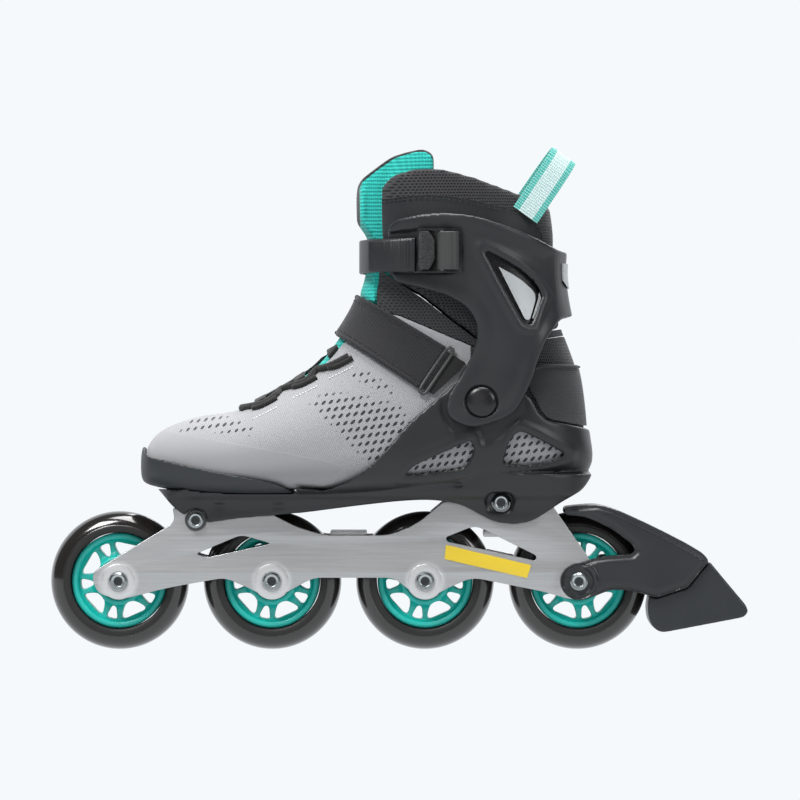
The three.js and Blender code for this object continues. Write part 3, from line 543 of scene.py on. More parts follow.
class Look:
    # one material; what varies is fed in, what is the same all over is set on the shader
    def __init__(self, name, **constants):
        self.material = bpy.data.materials.new(name)
        self.material.use_nodes = True
        self.tree = self.material.node_tree
        self.shader = self.tree.nodes["Principled BSDF"]
        for key, value in constants.items():
            self.shader.inputs[key.replace("_", " ")].default_value = value

    def node(self, kind, settings=None, inputs=None, output=0):
        made = self.tree.nodes.new(kind)
        for key, value in (settings or {}).items():
            if key == "stops":
                ramp = made.color_ramp
                while len(ramp.elements) < len(value):
                    ramp.elements.new(0.5)
                for element, (at, colour) in zip(ramp.elements, value):
                    element.position, element.color = at, colour
            else:
                setattr(made, key, value)
        for key, value in (inputs or {}).items():
            if isinstance(value, Value):
                self.tree.links.new(value.socket, made.inputs[key])
            else:
                made.inputs[key].default_value = value
        return Value(self, made.outputs[output])

    def place(self):
        # object coordinates in mm, as three values
        spot = self.node("ShaderNodeTexCoord", output="Object")
        parts = self.node("ShaderNodeSeparateXYZ", None, {0: spot})
        outputs = parts.socket.node.outputs
        return [Value(self, outputs[k]) * 1000 for k in range(3)]

    def uv(self):
        spot = self.node("ShaderNodeTexCoord", output="UV")
        outputs = self.node("ShaderNodeSeparateXYZ", None, {0: spot}).socket.node.outputs
        return [Value(self, outputs[k]) for k in range(2)]

    def painted(self, name):
        return self.node("ShaderNodeAttribute", {"attribute_name": name}, output="Fac")

    def vector(self, x, y, z):
        return self.node("ShaderNodeCombineXYZ", None, {0: x, 1: y, 2: z})

    def noise(self, size, detail=2.0, stretch=(1, 1, 1), rough=0.5):
        # size is one grain in mm
        spot = self.vector(*[value * (1 / size / longer) for value, longer in zip(self.place(), stretch)])
        return self.node("ShaderNodeTexNoise", None,
                         {"Vector": spot, "Scale": 1.0, "Detail": detail, "Roughness": rough})

    def cells(self, size):
        spot = self.vector(*[value * (1 / size) for value in self.place()])
        return self.node("ShaderNodeTexVoronoi", None, {"Vector": spot, "Scale": 1.0})

    def band(self, value, low, high, start=0.0, end=1.0):
        return self.node("ShaderNodeMapRange", {"interpolation_type": "SMOOTHSTEP"},
                         {0: value, 1: low, 2: high, 3: start, 4: end})

    def mix(self, share, first, second):
        inputs = {0: share}
        for key, colour in ((6, first), (7, second)):
            inputs[key] = colour if isinstance(colour, Value) else (*colour, 1.0)
        return self.node("ShaderNodeMix", {"data_type": "RGBA"}, inputs, output=2)

    def feed(self, **sockets):
        for key, value in sockets.items():
            self.tree.links.new(value.socket, self.shader.inputs[key.replace("_", " ")])
        return self

    def bump(self, height, distance):
        inputs = {"Height": height, "Distance": distance * mm, "Strength": 1.0}
        return self.feed(Normal=self.node("ShaderNodeBump", None, inputs))


def axleDistance(look):
    # distance in mm from the nearest axle in the side view
    x, _, z = look.place()
    fromAxle = (x - (axles[0] - pitch / 2)) % pitch - pitch / 2
    up = z - axleHeight
    return (fromAxle * fromAxle + up * up).root()


def mouldedPlastic(name, dark, light, roughness, grain, depth):
    # satin moulded plastic: a fine spark-eroded grain and slow changes of gloss
    look = Look(name, Specular_IOR_Level=0.5)
    slow = look.noise(28, 3)
    fine = look.noise(grain, 2)
    look.feed(Base_Color=look.mix(slow, dark, light))
    look.feed(Roughness=look.band(slow * 0.6 + fine * 0.4, 0.3, 0.7, roughness - 0.05, roughness + 0.06))
    look.bump(fine, depth)
    return look.material


shellPlastic = mouldedPlastic("shellPlastic", (0.010, 0.012, 0.013), (0.015, 0.017, 0.018), 0.36, 0.6, 0.03)
cuffPlastic = mouldedPlastic("cuffPlastic", (0.012, 0.014, 0.016), (0.018, 0.020, 0.022), 0.38, 0.6, 0.03)
blackPlastic = mouldedPlastic("blackPlastic", (0.006, 0.006, 0.007), (0.010, 0.010, 0.011), 0.26, 0.5, 0.02)
leverPlastic = mouldedPlastic("leverPlastic", (0.034, 0.037, 0.036), (0.048, 0.051, 0.050), 0.34, 0.5, 0.02)
bumperRubber = mouldedPlastic("bumperRubber", (0.018, 0.021, 0.023), (0.026, 0.029, 0.032), 0.48, 0.7, 0.05)
brakePlastic = mouldedPlastic("brakePlastic", (0.014, 0.015, 0.017), (0.021, 0.022, 0.025), 0.34, 0.5, 0.03)
padRubber = mouldedPlastic("padRubber", (0.014, 0.017, 0.020), (0.022, 0.025, 0.028), 0.38, 0.9, 0.05)


def tyreLook():
    # a glossy cast tread and a matt moulded side
    look = Look("tyreRubber", Coat_Roughness=0.06)
    radius = axleDistance(look)
    tread = look.band(radius, 31.6, 32.4)
    scuffs = look.noise(3.0, 4, (1, 8, 1))
    look.feed(Base_Color=look.mix(tread, (0.008, 0.0075, 0.007), (0.012, 0.010, 0.009)))
    look.feed(Roughness=look.band(tread + scuffs * 0.15, 0.0, 1.15, 0.55, 0.16), Coat_Weight=tread * 0.8)
    line = look.band(abs(radius - 32.0), 0.15, 0.45)
    return look.bump(line + look.noise(0.8) * 0.1 * (1 - tread), 0.25).material


def coreLook():
    look = Look("corePlastic", Specular_IOR_Level=0.5, Coat_Weight=0.15, Coat_Roughness=0.25)
    radius = axleDistance(look)
    rim = look.band(radius, 23.4, 24.2)
    slow = look.noise(9, 2)
    body = look.mix(slow, (0.004, 0.400, 0.345), (0.008, 0.470, 0.405))
    look.feed(Base_Color=look.mix(rim * 0.5, body, (0.020, 0.540, 0.470)))
    look.feed(Roughness=look.band(slow, 0.3, 0.7, 0.34, 0.44))
    return look.bump(look.noise(0.5), 0.02).material


def brushedLook():
    # satin aluminium with fine lengthwise lines; round the bosses the lines fade and the colour is painted
    # lighter, a painted highlight
    look = Look("brushedAluminium", Metallic=0.8, Specular_IOR_Level=0.5)
    lines = look.noise(0.16, 3, (90, 1, 1), 0.65)
    broad = look.noise(1.6, 2, (40, 1, 1))
    radius = axleDistance(look)
    # a lighter ring round each axle: a painted highlight on the boss
    boss = look.band(radius, 9.0, 13.0, 1.0, 0.0)
    tone = look.mix(lines * 0.6 + broad * 0.4, (0.28, 0.283, 0.287), (0.66, 0.665, 0.67))
    look.feed(Base_Color=look.mix(boss * 0.55, tone, (0.84, 0.84, 0.84)))
    look.feed(Roughness=look.band(lines, 0.2, 0.8, 0.30, 0.46))
    return look.bump(lines * (1 - boss * 0.7) + look.band(radius, 9.4, 12.4, 2.4, 0.0), 0.03).material


def steelLook(name, tone, roughness):
    look = Look(name, Metallic=1.0)
    grain = look.noise(0.6, 3)
    look.feed(Base_Color=look.mix(grain, [t * 0.85 for t in tone], tone))
    look.feed(Roughness=look.band(grain, 0.3, 0.7, roughness, roughness + 0.1))
    return look.bump(grain, 0.01).material


def meshCell(look, x, y, z, size):
    # round cells on a brick grid, 0 in the holes and 1 on the threads
    turn = x + y * 0.8
    row = (z * (1 / size)).floor()
    du = (turn * (1 / size) + (row * 0.5) % 1.0) % 1.0 - 0.5
    dv = (z * (1 / size)) % 1.0 - 0.5
    return look.band((du * du + dv * dv).root(), 0.22, 0.46)


def boltLook():
    # a turned steel head: a painted highlight on the ring round the socket, painted shade in the socket
    look = Look("boltSteel", Metallic=1.0)
    radius = look.painted("fromMiddle")
    # the socket painted dark: painted shade in the recess
    socket = look.band(radius, 2.35, 2.75)
    # a lighter ring on the chamfer round the socket: a painted highlight
    rim = look.band(abs(radius - 3.3), 0.25, 0.6, 1.0, 0.0)
    tone = look.mix(socket, (0.055, 0.060, 0.062), (0.30, 0.33, 0.34))
    look.feed(Base_Color=look.mix(rim, tone, (0.52, 0.55, 0.56)))
    return look.feed(Roughness=look.band(look.noise(0.6, 3), 0.3, 0.7, 0.20, 0.34)).material


def knitLook():
    # light knit with fine diagonal ribs, rows of slanted holes at three places
    look = Look("lightKnit", Specular_IOR_Level=0.2, Sheen_Weight=0.25, Sheen_Roughness=0.5)
    x, y, z = look.place()
    height = z - deck
    lean = math.radians(24)
    across = x * math.cos(lean) + height * math.sin(lean)
    along = height * math.cos(lean) - x * math.sin(lean)
    stitch = (across * (2 * math.pi / 1.15)).sin() * 0.5 + 0.5
    course = (along * (2 * math.pi / 0.85)).sin() * 0.5 + 0.5
    weave = stitch * 0.5 + course * 0.5
    # slanted oval holes on a staggered grid
    step, rowStep = 4.3, 4.4
    turn = math.radians(-8)
    u = x * math.cos(turn) - height * math.sin(turn)
    v = height * math.cos(turn) + x * math.sin(turn)
    row = (v * (1 / rowStep)).floor()
    stagger = (row * 0.5) % 1.0
    du = ((u * (1 / step) + stagger) % 1.0 - 0.5) * step
    dv = ((v * (1 / rowStep)) % 1.0 - 0.5) * rowStep
    slant = math.radians(38)
    longWay = du * math.cos(slant) + dv * math.sin(slant)
    shortWay = dv * math.cos(slant) - du * math.sin(slant)
    oval = (longWay * longWay * (1 / 1.6 ** 2) + shortWay * shortWay * (1 / 0.72 ** 2)).root()
    size = look.band(look.painted("openKnit"), 0.0, 7.0, 0.72, 1.1)
    hole = look.band(oval / size, 0.85, 1.1, 1.0, 0.0)
    hole = hole * look.band(look.painted("openKnit"), -0.8, 1.2)
    # a smooth fused band above the bumper
    fused = look.band(look.painted("fusedBand"), -0.5, 0.5)
    tone = look.mix(weave * look.band(fused, 0, 1, 1.0, 0.3), (0.245, 0.245, 0.256), (0.345, 0.345, 0.358))
    tone = look.mix(fused * 0.6, tone, (0.300, 0.300, 0.306))
    tone = look.mix(hole, tone, (0.030, 0.031, 0.034))
    # black spacer mesh round the back of the ankle
    rear = look.band(x + height * 0.6, 84.0, 84.6) * look.band(x, 40.0, 40.6) * look.band(height, 48.0, 48.6)
    cell = meshCell(look, x, y, z, 1.7)
    look.feed(Base_Color=look.mix(rear, tone, look.mix(cell, (0.004, 0.004, 0.005), (0.040, 0.040, 0.043))))
    look.feed(Roughness=look.band(weave, 0, 1, 0.72, 0.86))
    knit = weave * (1 - fused * 0.75) * 0.4 + fused * 0.6 - hole * 2.2
    return look.bump(knit * (1 - rear) + cell * rear, 0.28).material


def knurlLook():
    # fine crossed knurling on black plastic, with the studs painted lighter and the grooves darker: painted
    # highlight and painted shade
    look = Look("knurledPlastic", Specular_IOR_Level=0.5)
    x, _, z = look.place()
    first = ((x + z * 0.8) * (2 * math.pi / 1.3)).sin()
    second = ((x - z * 0.8) * (2 * math.pi / 1.3)).sin()
    stud = look.band(first * second, -0.5, 0.7)
    # lighter studs are a painted highlight, darker grooves painted shade
    look.feed(Base_Color=look.mix(stud, (0.006, 0.006, 0.007), (0.040, 0.042, 0.044)))
    look.feed(Roughness=look.band(stud, 0, 1, 0.5, 0.32))
    return look.bump(stud, 0.3).material


def collarLook():
    # spacer mesh above the seam and a smooth panel below it
    look = Look("collarCloth", Specular_IOR_Level=0.3, Sheen_Weight=0.15, Sheen_Roughness=0.5)
    x, y, z = look.place()
    panel = look.band(look.painted("belowSeam"), -0.3, 0.3)
    cell = meshCell(look, x, y, z, 1.7)
    fluff = look.noise(0.6, 2)
    # threads lighter than holes: the mesh's own weave, with a painted highlight raising the threads' colour
    mesh = look.mix(cell, (0.003, 0.003, 0.004), (0.036, 0.036, 0.039))
    look.feed(Base_Color=look.mix(panel, mesh, look.mix(fluff, (0.012, 0.014, 0.016), (0.018, 0.020, 0.022))))
    look.feed(Roughness=look.band(panel, 0, 1, 0.82, 0.46))
    return look.bump(cell * (1 - panel) + fluff * 0.08, 0.25).material


def meshLook(name, dark, light, size, depth=0.25):
    # spacer mesh: round cells on a brick grid
    look = Look(name, Specular_IOR_Level=0.25, Sheen_Weight=0.2, Sheen_Roughness=0.6)
    x, y, z = look.place()
    cell = meshCell(look, x, y, z, size)
    fluff = look.noise(size * 0.35, 2)
    look.feed(Base_Color=look.mix(cell * 0.8 + fluff * 0.2, dark, light))
    look.feed(Roughness=look.band(fluff, 0.2, 0.8, 0.75, 0.92))
    return look.bump(cell + fluff * 0.25, depth).material


def webbingLook(name, dark, light, pitchSize):
    # woven webbing with ribs across its run, which climbs to the rear
    look = Look(name, Specular_IOR_Level=0.25, Sheen_Weight=0.15, Sheen_Roughness=0.6)
    x, _, z = look.place()
    alongX, alongZ = 0.83, 0.55
    run = x * alongX + z * alongZ
    cross = z * alongX - x * alongZ
    rib = (run * (2 * math.pi / pitchSize)).sin() * 0.5 + 0.5
    turn = cross * (2 * math.pi / (pitchSize * 0.6)) + (run * (1 / pitchSize)).floor() * math.pi
    thread = turn.sin() * 0.5 + 0.5
    weave = rib * 0.6 + thread * 0.4
    look.feed(Base_Color=look.mix(weave, dark, light))
    look.feed(Roughness=look.band(weave, 0, 1, 0.75, 0.88))
    return look.bump(weave, 0.18).material


def tongueLook():
    # teal ribbed knit
    look = Look("tealKnit", Specular_IOR_Level=0.25, Sheen_Weight=0.2, Sheen_Roughness=0.5)
    x, y, z = look.place()
    rib = (z * (2 * math.pi / 2.1)).sin() * 0.5 + 0.5
    thread = ((x + y) * (2 * math.pi / 1.1)).sin() * 0.5 + 0.5
    weave = rib * 0.65 + thread * 0.35
    binding = look.band(look.painted("fromEdge"), 2.0, 2.4, 1.0, 0.0)
    tone = look.mix(weave, (0.006, 0.300, 0.265), (0.030, 0.560, 0.490))
    look.feed(Base_Color=look.mix(binding, tone, (0.010, 0.010, 0.011)))
    look.feed(Roughness=look.band(weave, 0, 1, 0.66, 0.82))
    return look.bump(weave, 0.35).material


def loopLook():
    # webbing with a pale middle and teal edges, read from its own map: u across, v along
    look = Look("loopWebbing", Specular_IOR_Level=0.3, Sheen_Weight=0.2, Sheen_Roughness=0.5)
    u, v = look.uv()
    edge = look.band(abs(u - 0.5), 0.27, 0.30)
    rib = (v * (2 * math.pi * 52)).sin() * 0.5 + 0.5
    thread = (u * (2 * math.pi * 14)).sin() * 0.5 + 0.5
    tone = look.mix(edge, (0.50, 0.66, 0.65), (0.02, 0.40, 0.34))
    look.feed(Base_Color=look.mix(rib * 0.35, tone, (0.62, 0.74, 0.74)))
    look.feed(Roughness=look.band(rib, 0, 1, 0.6, 0.8))
    return look.bump(rib * 0.7 + thread * 0.3, 0.25).material


def silverLook():
    # reflective foil with fine sparkle
    look = Look("silverFoil", Metallic=0.35, Specular_IOR_Level=0.6)
    sparkle = look.cells(0.45)
    look.feed(Base_Color=look.mix(sparkle, (0.50, 0.53, 0.54), (0.38, 0.40, 0.41)))
    look.feed(Roughness=look.band(sparkle, 0.1, 0.8, 0.25, 0.5))
    return look.bump(sparkle, 0.05).material


def plainLook(name, colour, roughness):
    look = Look(name)
    grain = look.noise(0.8, 2)
    look.feed(Base_Color=look.mix(grain, [c * 0.93 for c in colour], colour))
    look.feed(Roughness=look.band(grain, 0.3, 0.7, roughness, roughness + 0.08))
    return look.bump(grain, 0.02).material


tyreRubber, corePlastic, brushedAluminium = tyreLook(), coreLook(), brushedLook()
brightSteel = steelLook("brightSteel", (0.78, 0.80, 0.80), 0.18)
darkSteel = steelLook("darkSteel", (0.10, 0.10, 0.10), 0.30)
boltSteel = boltLook()
lightKnit, tealKnit, loopWebbing, silverFoil = knitLook(), tongueLook(), loopLook(), silverLook()
linerMesh = meshLook("linerMesh", (0.003, 0.003, 0.004), (0.034, 0.034, 0.037), 1.7)
linerPanel = meshLook("linerPanel", (0.012, 0.014, 0.016), (0.022, 0.024, 0.026), 0.8, 0.06)
heelWeave = meshLook("heelWeave", (0.006, 0.006, 0.007), (0.024, 0.025, 0.028), 1.1, 0.12)
strapWeave = webbingLook("strapWeave", (0.002, 0.002, 0.003), (0.026, 0.026, 0.029), 1.5)
laceWeave = webbingLook("laceWeave", (0.004, 0.004, 0.004), (0.014, 0.014, 0.013), 1.2)
bindingTape = webbingLook("bindingTape", (0.004, 0.004, 0.004), (0.012, 0.012, 0.013), 0.9)
collarCloth, knurledPlastic = collarLook(), knurlLook()
stitchThread = plainLook("stitchThread", (0.012, 0.012, 0.013), 0.6)
paleThread = plainLook("paleThread", (0.80, 0.80, 0.80), 0.6)
labelFilm = plainLook("labelFilm", (0.78, 0.56, 0.03), 0.35)
print("materials made")


# wheels
wheel = {"spokes": 5, "firstSpoke": 1.36, "lastTurn": math.radians(26), "voxel": 0.5}
tyreProfile = [
    (27.9, -11.3), (28.6, -11.9), (30.4, -12.0), (31.9, -11.9), (32.1, -11.6), (32.7, -11.5), (34.4, -10.7),
    (36.4, -9.2), (38.0, -7.2), (39.2, -4.8), (39.8, -2.6), (40.0, -1.0),
]
tyreProfile += [(radius, -along) for radius, along in reversed(tyreProfile)]
coreProfile = [
    (11.1, -11.9), (13.4, -11.9), (14.0, -11.3), (14.4, -7.2), (16.5, -5.4), (22.0, -5.0), (23.4, -5.8),
    (24.0, -7.6), (25.6, -8.2), (27.2, -7.8), (27.5, -7.0),
]
coreProfile += [(radius, -along) for radius, along in reversed(coreProfile)]


def coreWindow(angle, spread, inner, outer, rounding):
    points = []
    for radius, side in ((inner, -0.55), (outer, -1), (outer, 1), (inner, 0.55)):
        at = angle + side * spread
        points.append([radius * math.cos(at), radius * math.sin(at), rounding])
    return points


def coreShape(turn):
    # five large windows with a narrow one between each two
    core = spun("core", coreProfile, steps=120)
    step = 2 * math.pi / wheel["spokes"]
    for k in range(wheel["spokes"]):
        at = wheel["firstSpoke"] + turn + k * step
        cut(core, prism("window", coreWindow(at, 0.39, 13.8, 23.3, 4.4), -20, 20))
        cut(core, prism("window", coreWindow(at + step / 2, 0.155, 15.0, 22.8, 2.4), -20, 20))
    return soften(core, wheel["voxel"], 2)


tyreShape = smooth(spun("tyreShape", tyreProfile, steps=128), 50)
coreShapes = [coreShape(0), coreShape(wheel["lastTurn"])]
bearingShape = smooth(spun("bearingShape", [
    (4.3, -11.9), (5.6, -11.9), (5.8, -11.4), (9.2, -11.4), (9.5, -11.9), (10.8, -11.9), (11.0, -11.6),
    (11.0, -5.3), (4.3, -5.3)], steps=48), 35)


def boltShape(name, radius, height, seat, shaft=4.0, shaftEnd=0.0):
    # a button head with a six-sided socket, on the outer side
    socket, key = 2.9, 2.4
    profile = [(0.01, -seat - 0.9), (socket * 0.98, -seat - 0.9), (socket, -seat - height + 0.25),
               (socket + 0.5, -seat - height), (radius - 0.9, -seat - height), (radius, -seat - height + 0.8),
               (radius, -seat), (shaft, -seat), (shaft, shaftEnd), (0.01, shaftEnd)]
    made = spun(name, profile, steps=48)
    hexagon = [[key * math.cos(a * math.pi / 3), key * math.sin(a * math.pi / 3)] for a in range(6)]
    cut(made, prism("socket", hexagon, -seat - height, -seat - 0.3))
    paint(made, "fromMiddle", lambda p: math.hypot(p.x, p.z))
    return smooth(made, 30)


bothSides = (("outer", copyOf), ("inner", mirroredCopy))
wheelAxle = boltShape("wheelAxle", 5.1, 2.0, 17.8)
brakeAxle = boltShape("brakeAxle", 5.1, 2.0, 21.1)
for number, x in enumerate(axles, 1):
    body = f"wheel_{number}"
    last = number == 4
    tyre = moved(copyOf(tyreShape, f"tyre{number}"), x, 0, axleHeight)
    finishPiece(tyre, body, "tyre", tyreRubber, f"tyre_{number}")
    core = moved(copyOf(coreShapes[1 if last else 0], f"core{number}"), x, 0, axleHeight)
    finishPiece(core, body, "core", corePlastic, f"core_{number}")
    for sideName, copied in bothSides:
        bearing = moved(copied(bearingShape, f"bearing{number}{sideName}"), x, 0, axleHeight)
        finishPiece(bearing, body, "steel", brightSteel, f"bearing_{number}_{sideName}_side")
    shape = brakeAxle if last else wheelAxle
    axle = joined(f"axle{number}", [copyOf(shape, "headSide"), mirroredCopy(shape, "nutSide")])
    finishPiece(moved(axle, x, 0, axleHeight), root, "steel", boltSteel, f"axle_{number}")
    dress(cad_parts[f"spacer_{number}"], darkSteel)
for shape in (tyreShape, *coreShapes, bearingShape, wheelAxle, brakeAxle):
    remove(shape)
print("wheels made")


# frame rails
rail = {"inside": 14.5, "outside": 17.5, "bore": 4.3, "screwHole": 3.3, "edge": 0.45}
bridgeSizes = {"low": 25.5, "high": 29, "half": 14.6, "tyreRoom": 2.3, "edge": 0.5}
frontBolt, rearBolt = (-117.6, deck - 4.8), (58.2, deck + 5.3)
first, second, third, lastAxle = axles
railOutline = [
    [first - 15.2, axleHeight + 2, 5], [first - 12, axleHeight - 7, 5], [first + 1, axleHeight - 10.8, 7],
    [first + 30, axleHeight - 3.4, 10], [second - 27, axleHeight + 2, 5], [second - 12, axleHeight - 4.5, 4],
    [second, axleHeight - 11.2, 6], [second + 12, axleHeight - 4.5, 4], [second + 24, axleHeight + 2, 5],
    [third - 18, axleHeight + 2, 5], [third - 10, axleHeight - 4.5, 4], [third, axleHeight - 11.2, 6],
    [third + 13, axleHeight - 4, 4], [third + 27, axleHeight + 2.2, 6], [lastAxle - 20, axleHeight - 6, 8],
    [lastAxle - 3, axleHeight - 11.2, 7], [lastAxle + 9, axleHeight - 8, 5],
    [lastAxle + 11.2, axleHeight + 3, 4],
    [lastAxle + 5, axleHeight + 15, 4], [lastAxle - 1.5, axleHeight + 24], [rearBolt[0] + 28, deck + 6, 2],
    [rearBolt[0] - 33, deck + 6, 2], [third - 4, axleHeight + 33.8, 4], [third - 13, axleHeight + 29.3, 5],
    [third - 22, axleHeight + 26.5, 5], [second + 30, axleHeight + 26.5, 5],
    [second + 14, axleHeight + 31.5, 5],
    [frontBolt[0] + 45.5, deck - 2.2], [frontBolt[0] + 41, deck + 3, 2], [frontBolt[0] - 13.4, deck + 2, 1],
    [frontBolt[0] - 12.1, deck - 6, 4], [first + 12, axleHeight + 21.7, 6], [first - 13.7, axleHeight + 6, 4],
]
frontWindow = [[second - 43.9, axleHeight + 15.7, 2.5], [second - 17.5, axleHeight + 26.7, 4],
               [second - 0.3, axleHeight + 21.7, 2.5], [second - 37.3, axleHeight + 13.7, 3]]
rearWindow = [[third + 11.9, axleHeight + 25.3, 1.5], [third + 26.5, axleHeight + 31.2, 3],
              [third + 31, axleHeight + 31.2, 4], [third + 64.2, axleHeight + 14.7, 2],
              [third + 63.5, axleHeight + 11.8, 1.5], [third + 12.6, axleHeight + 22.9, 1.5]]


def circle(x, z, radius, sides=40):
    return [[x + radius * math.cos(2 * math.pi * i / sides), z + radius * math.sin(2 * math.pi * i / sides)]
            for i in range(sides)]


holes = [frontWindow, rearWindow, *[circle(x, axleHeight, rail["bore"]) for x in axles],
         circle(*frontBolt, rail["screwHole"]), circle(*rearBolt, rail["screwHole"])]
side = plate("side", railOutline, -rail["outside"], -rail["inside"], rail["edge"], holes)
bossProfile = [(4.3, -14.6), (4.3, -12.3), (7.6, -12.3), (8.0, -12.7), (8.0, -14.6)]
turnedFace = [(5.6, -17.4), (5.6, -17.75), (6.2, -17.95), (8.2, -17.75), (10.0, -17.52), (10.2, -17.4)]
bosses = []
for x in axles:
    bosses.append(spun("boss", bossProfile, x, 0, axleHeight, 48))
    if x != lastAxle:
        bosses.append(spun("turnedFace", turnedFace, x, 0, axleHeight, 64))
half = joined("half", [side, *bosses])
otherHalf = mirroredCopy(half, "otherHalf")
bridges = []
for left in axles[:-1]:
    # as long as the two tyres beside it leave room for
    middle = left + pitch / 2
    reach = pitch / 2 - math.sqrt((deck / 2 + bridgeSizes["tyreRoom"]) ** 2 - bridgeSizes["low"] ** 2)
    bridge = block("bridge", (middle - reach, middle + reach), (-bridgeSizes["half"], bridgeSizes["half"]),
                   (axleHeight + bridgeSizes["low"], axleHeight + bridgeSizes["high"]))
    bridges.append(modify(bridge, "BEVEL", width=bridgeSizes["edge"] * mm, segments=2))
rails = smooth(joined("rails", [half, otherHalf, *bridges]), 40)
finishPiece(rails, root, "rail", brushedAluminium, "frame")

frontShape = boltShape("frontShape", 4.5, 3.0, 19.1, shaft=3.0, shaftEnd=-3.0)
rearShape = boltShape("rearShape", 4.5, 3.0, 17.8, shaft=3.0, shaftEnd=-3.0)
washerProfile = [(3.3, -17.8), (3.3, -18.8), (5.7, -18.8), (6.2, -18.5), (6.2, -17.8)]
washerShape = smooth(spun("washerShape", washerProfile, steps=48), 30)
mountings = (
    (frontShape, "frontBolt", frontBolt, boltSteel, "front_bolt"),
    (rearShape, "rearBolt", rearBolt, boltSteel, "rear_bolt"),
    (washerShape, "frontWasher", frontBolt, darkSteel, "front_washer"),
)
for sideName, copied in bothSides:
    for shape, name, (x, z), material, node in mountings:
        piece = moved(copied(shape, f"{name}{sideName}"), x, 0, z)
        finishPiece(piece, root, "steel", material, f"{node}_{sideName}_side")
for shape in (frontShape, rearShape, washerShape):
    remove(shape)

labelCorners = [[26.5, 61, 0.8], [75.6, 49.3, 0.8], [73.2, 41.8, 0.8], [25.6, 52.8, 0.8]]
labelSizes = {"drawnAxle": 14.5, "outside": 18.05, "inside": 17.82, "edge": 0.05}
labelShift = third - labelSizes["drawnAxle"]
label = plate("blankLabel", [[x + labelShift, z, rounding] for x, z, rounding in labelCorners],
              -labelSizes["outside"], -labelSizes["inside"], labelSizes["edge"])
finishPiece(smooth(label, 35), root, "label", labelFilm, "label")
print("frame made")


# hard boot: sole shell, toe bumper, cuff
bumperFoot = [[-59.2, 9.9], [-80.4, 8.4], [-103.6, 8.9], [-128.1, 11.4]]
shellOutline = [
    [-141, 14, 1], [-134.7, 7.8, 2], [-129.9, 2.2, 3], [-123.5, -2.6, 3], [-110.6, -6.3, 3],
    [-92.9, -3.8, 3], [-56.6, -0.6, 8], [-23, 3.8, 8], [0, 6.4, 8], [16, 7.2, 7], [28, 5.9, 5],
    [36.2, 3.8, 4], [45.1, -1, 4], [54.8, -5.9, 4], [66, -7.3, 5], [75.7, -5.5, 4], [84.6, -0.2, 4],
    [91.4, 4.7, 3], [97.2, 8.3, 3], [105.2, 12.7, 4], [109.8, 19, 3], [113.5, 27, 4], [116, 34.5, 3],
    [114, 42, 3], [110.5, 47, 2], [105.2, 48.7, 2], [96.3, 50.5, 4], [84.1, 52.7, 4], [79.7, 57, 3],
    [74.7, 66.5, 3], [66, 71, 5], [54, 81, 6], [43, 88, 4], [38, 84.7, 3], [32.5, 76, 4],
    [24.5, 67.9, 4], [11.4, 57, 6], [4.2, 50.5, 4], [-6.3, 37.8, 6], [-17.9, 25.2, 6],
    [-27.4, 18.9, 5], [-42.2, 12.5, 5], *bumperFoot,
]
frontVent = [[1.6, 21.4, 2], [8.8, 27.4, 3], [26.4, 35.4, 4], [41, 41.8, 2], [42.4, 35.4, 4],
             [37.6, 25.4, 4], [23.9, 23.4, 3]]
rearVent = [[64.8, 44.2, 3], [68.8, 47, 2], [80, 41.8, 3], [95.4, 33.2, 2], [84, 28.6, 4], [72, 27, 4],
            [58.8, 28.4, 2], [61.6, 39.4, 3]]
ventCrease = [(-12, 15.5), (14, 18.5), (40, 19.5), (58, 19.0), (74, 19.5), (86, 23.0), (92, 28.0)]
pivot = (46.4, 63.4)
# the shell's edge is higher where the bumper's foot wraps it
shellPlan = [[corner[0], corner[1] + 4.5] if corner in bumperFoot else corner for corner in shellOutline]
shellSizes = {"inner": 0.3, "outer": 3.3, "flange": 20.6, "voxel": 0.95}
cuffSizes = {"inner": 4.5, "outer": 7.9, "voxel": 0.75}


def grownOutline(corners, by):
    # every point of an outline moved away from its middle line by the same step
    points = outline(corners, 4)
    area = sum(a.x * b.y - b.x * a.y for a, b in zip(points, points[1:] + points[:1]))
    turn = 1 if area > 0 else -1
    made = []
    for i, at in enumerate(points):
        way = points[(i + 1) % len(points)] - points[i - 1]
        away = Vector((way.y, -way.x)).normalized() * turn
        made.append([*(at + away * by)])
    return made


def keel():
    half = shellSizes["flange"]
    section = [[-half, -12], [half, -12], [half, 1, 2], [half + 2.5, 6, 4], [30, 11, 4], [34, 22],
               [-34, 22], [-30, 11, 4], [-half - 2.5, 6, 4], [-half, 1, 2]]
    made = prism("keel", section, -145, 115, "X", lift=deck)
    plan = [[-141, 7, 4], [-134, 24, 8], [-118, 36, 10], [80, 36, 12], [101, 27, 10], [112, 10, 6],
            [112, -10, 6], [101, -27, 10], [80, -36, 12], [-118, -36, 10], [-134, -24, 8], [-141, -7, 4]]
    return cut(made, prism("plan", plan, deck - 15, deck + 25, "Z"), "INTERSECT")


def channel(points, offset, radius):
    # a groove cutter along the surface on both sides
    made = []
    for sideSign in (-1, 1):
        line = skinLine(points, offset, sideSign, 1.5)
        made.append(tube("channel", line, radius, sides=2))
    return joined("channels", made)


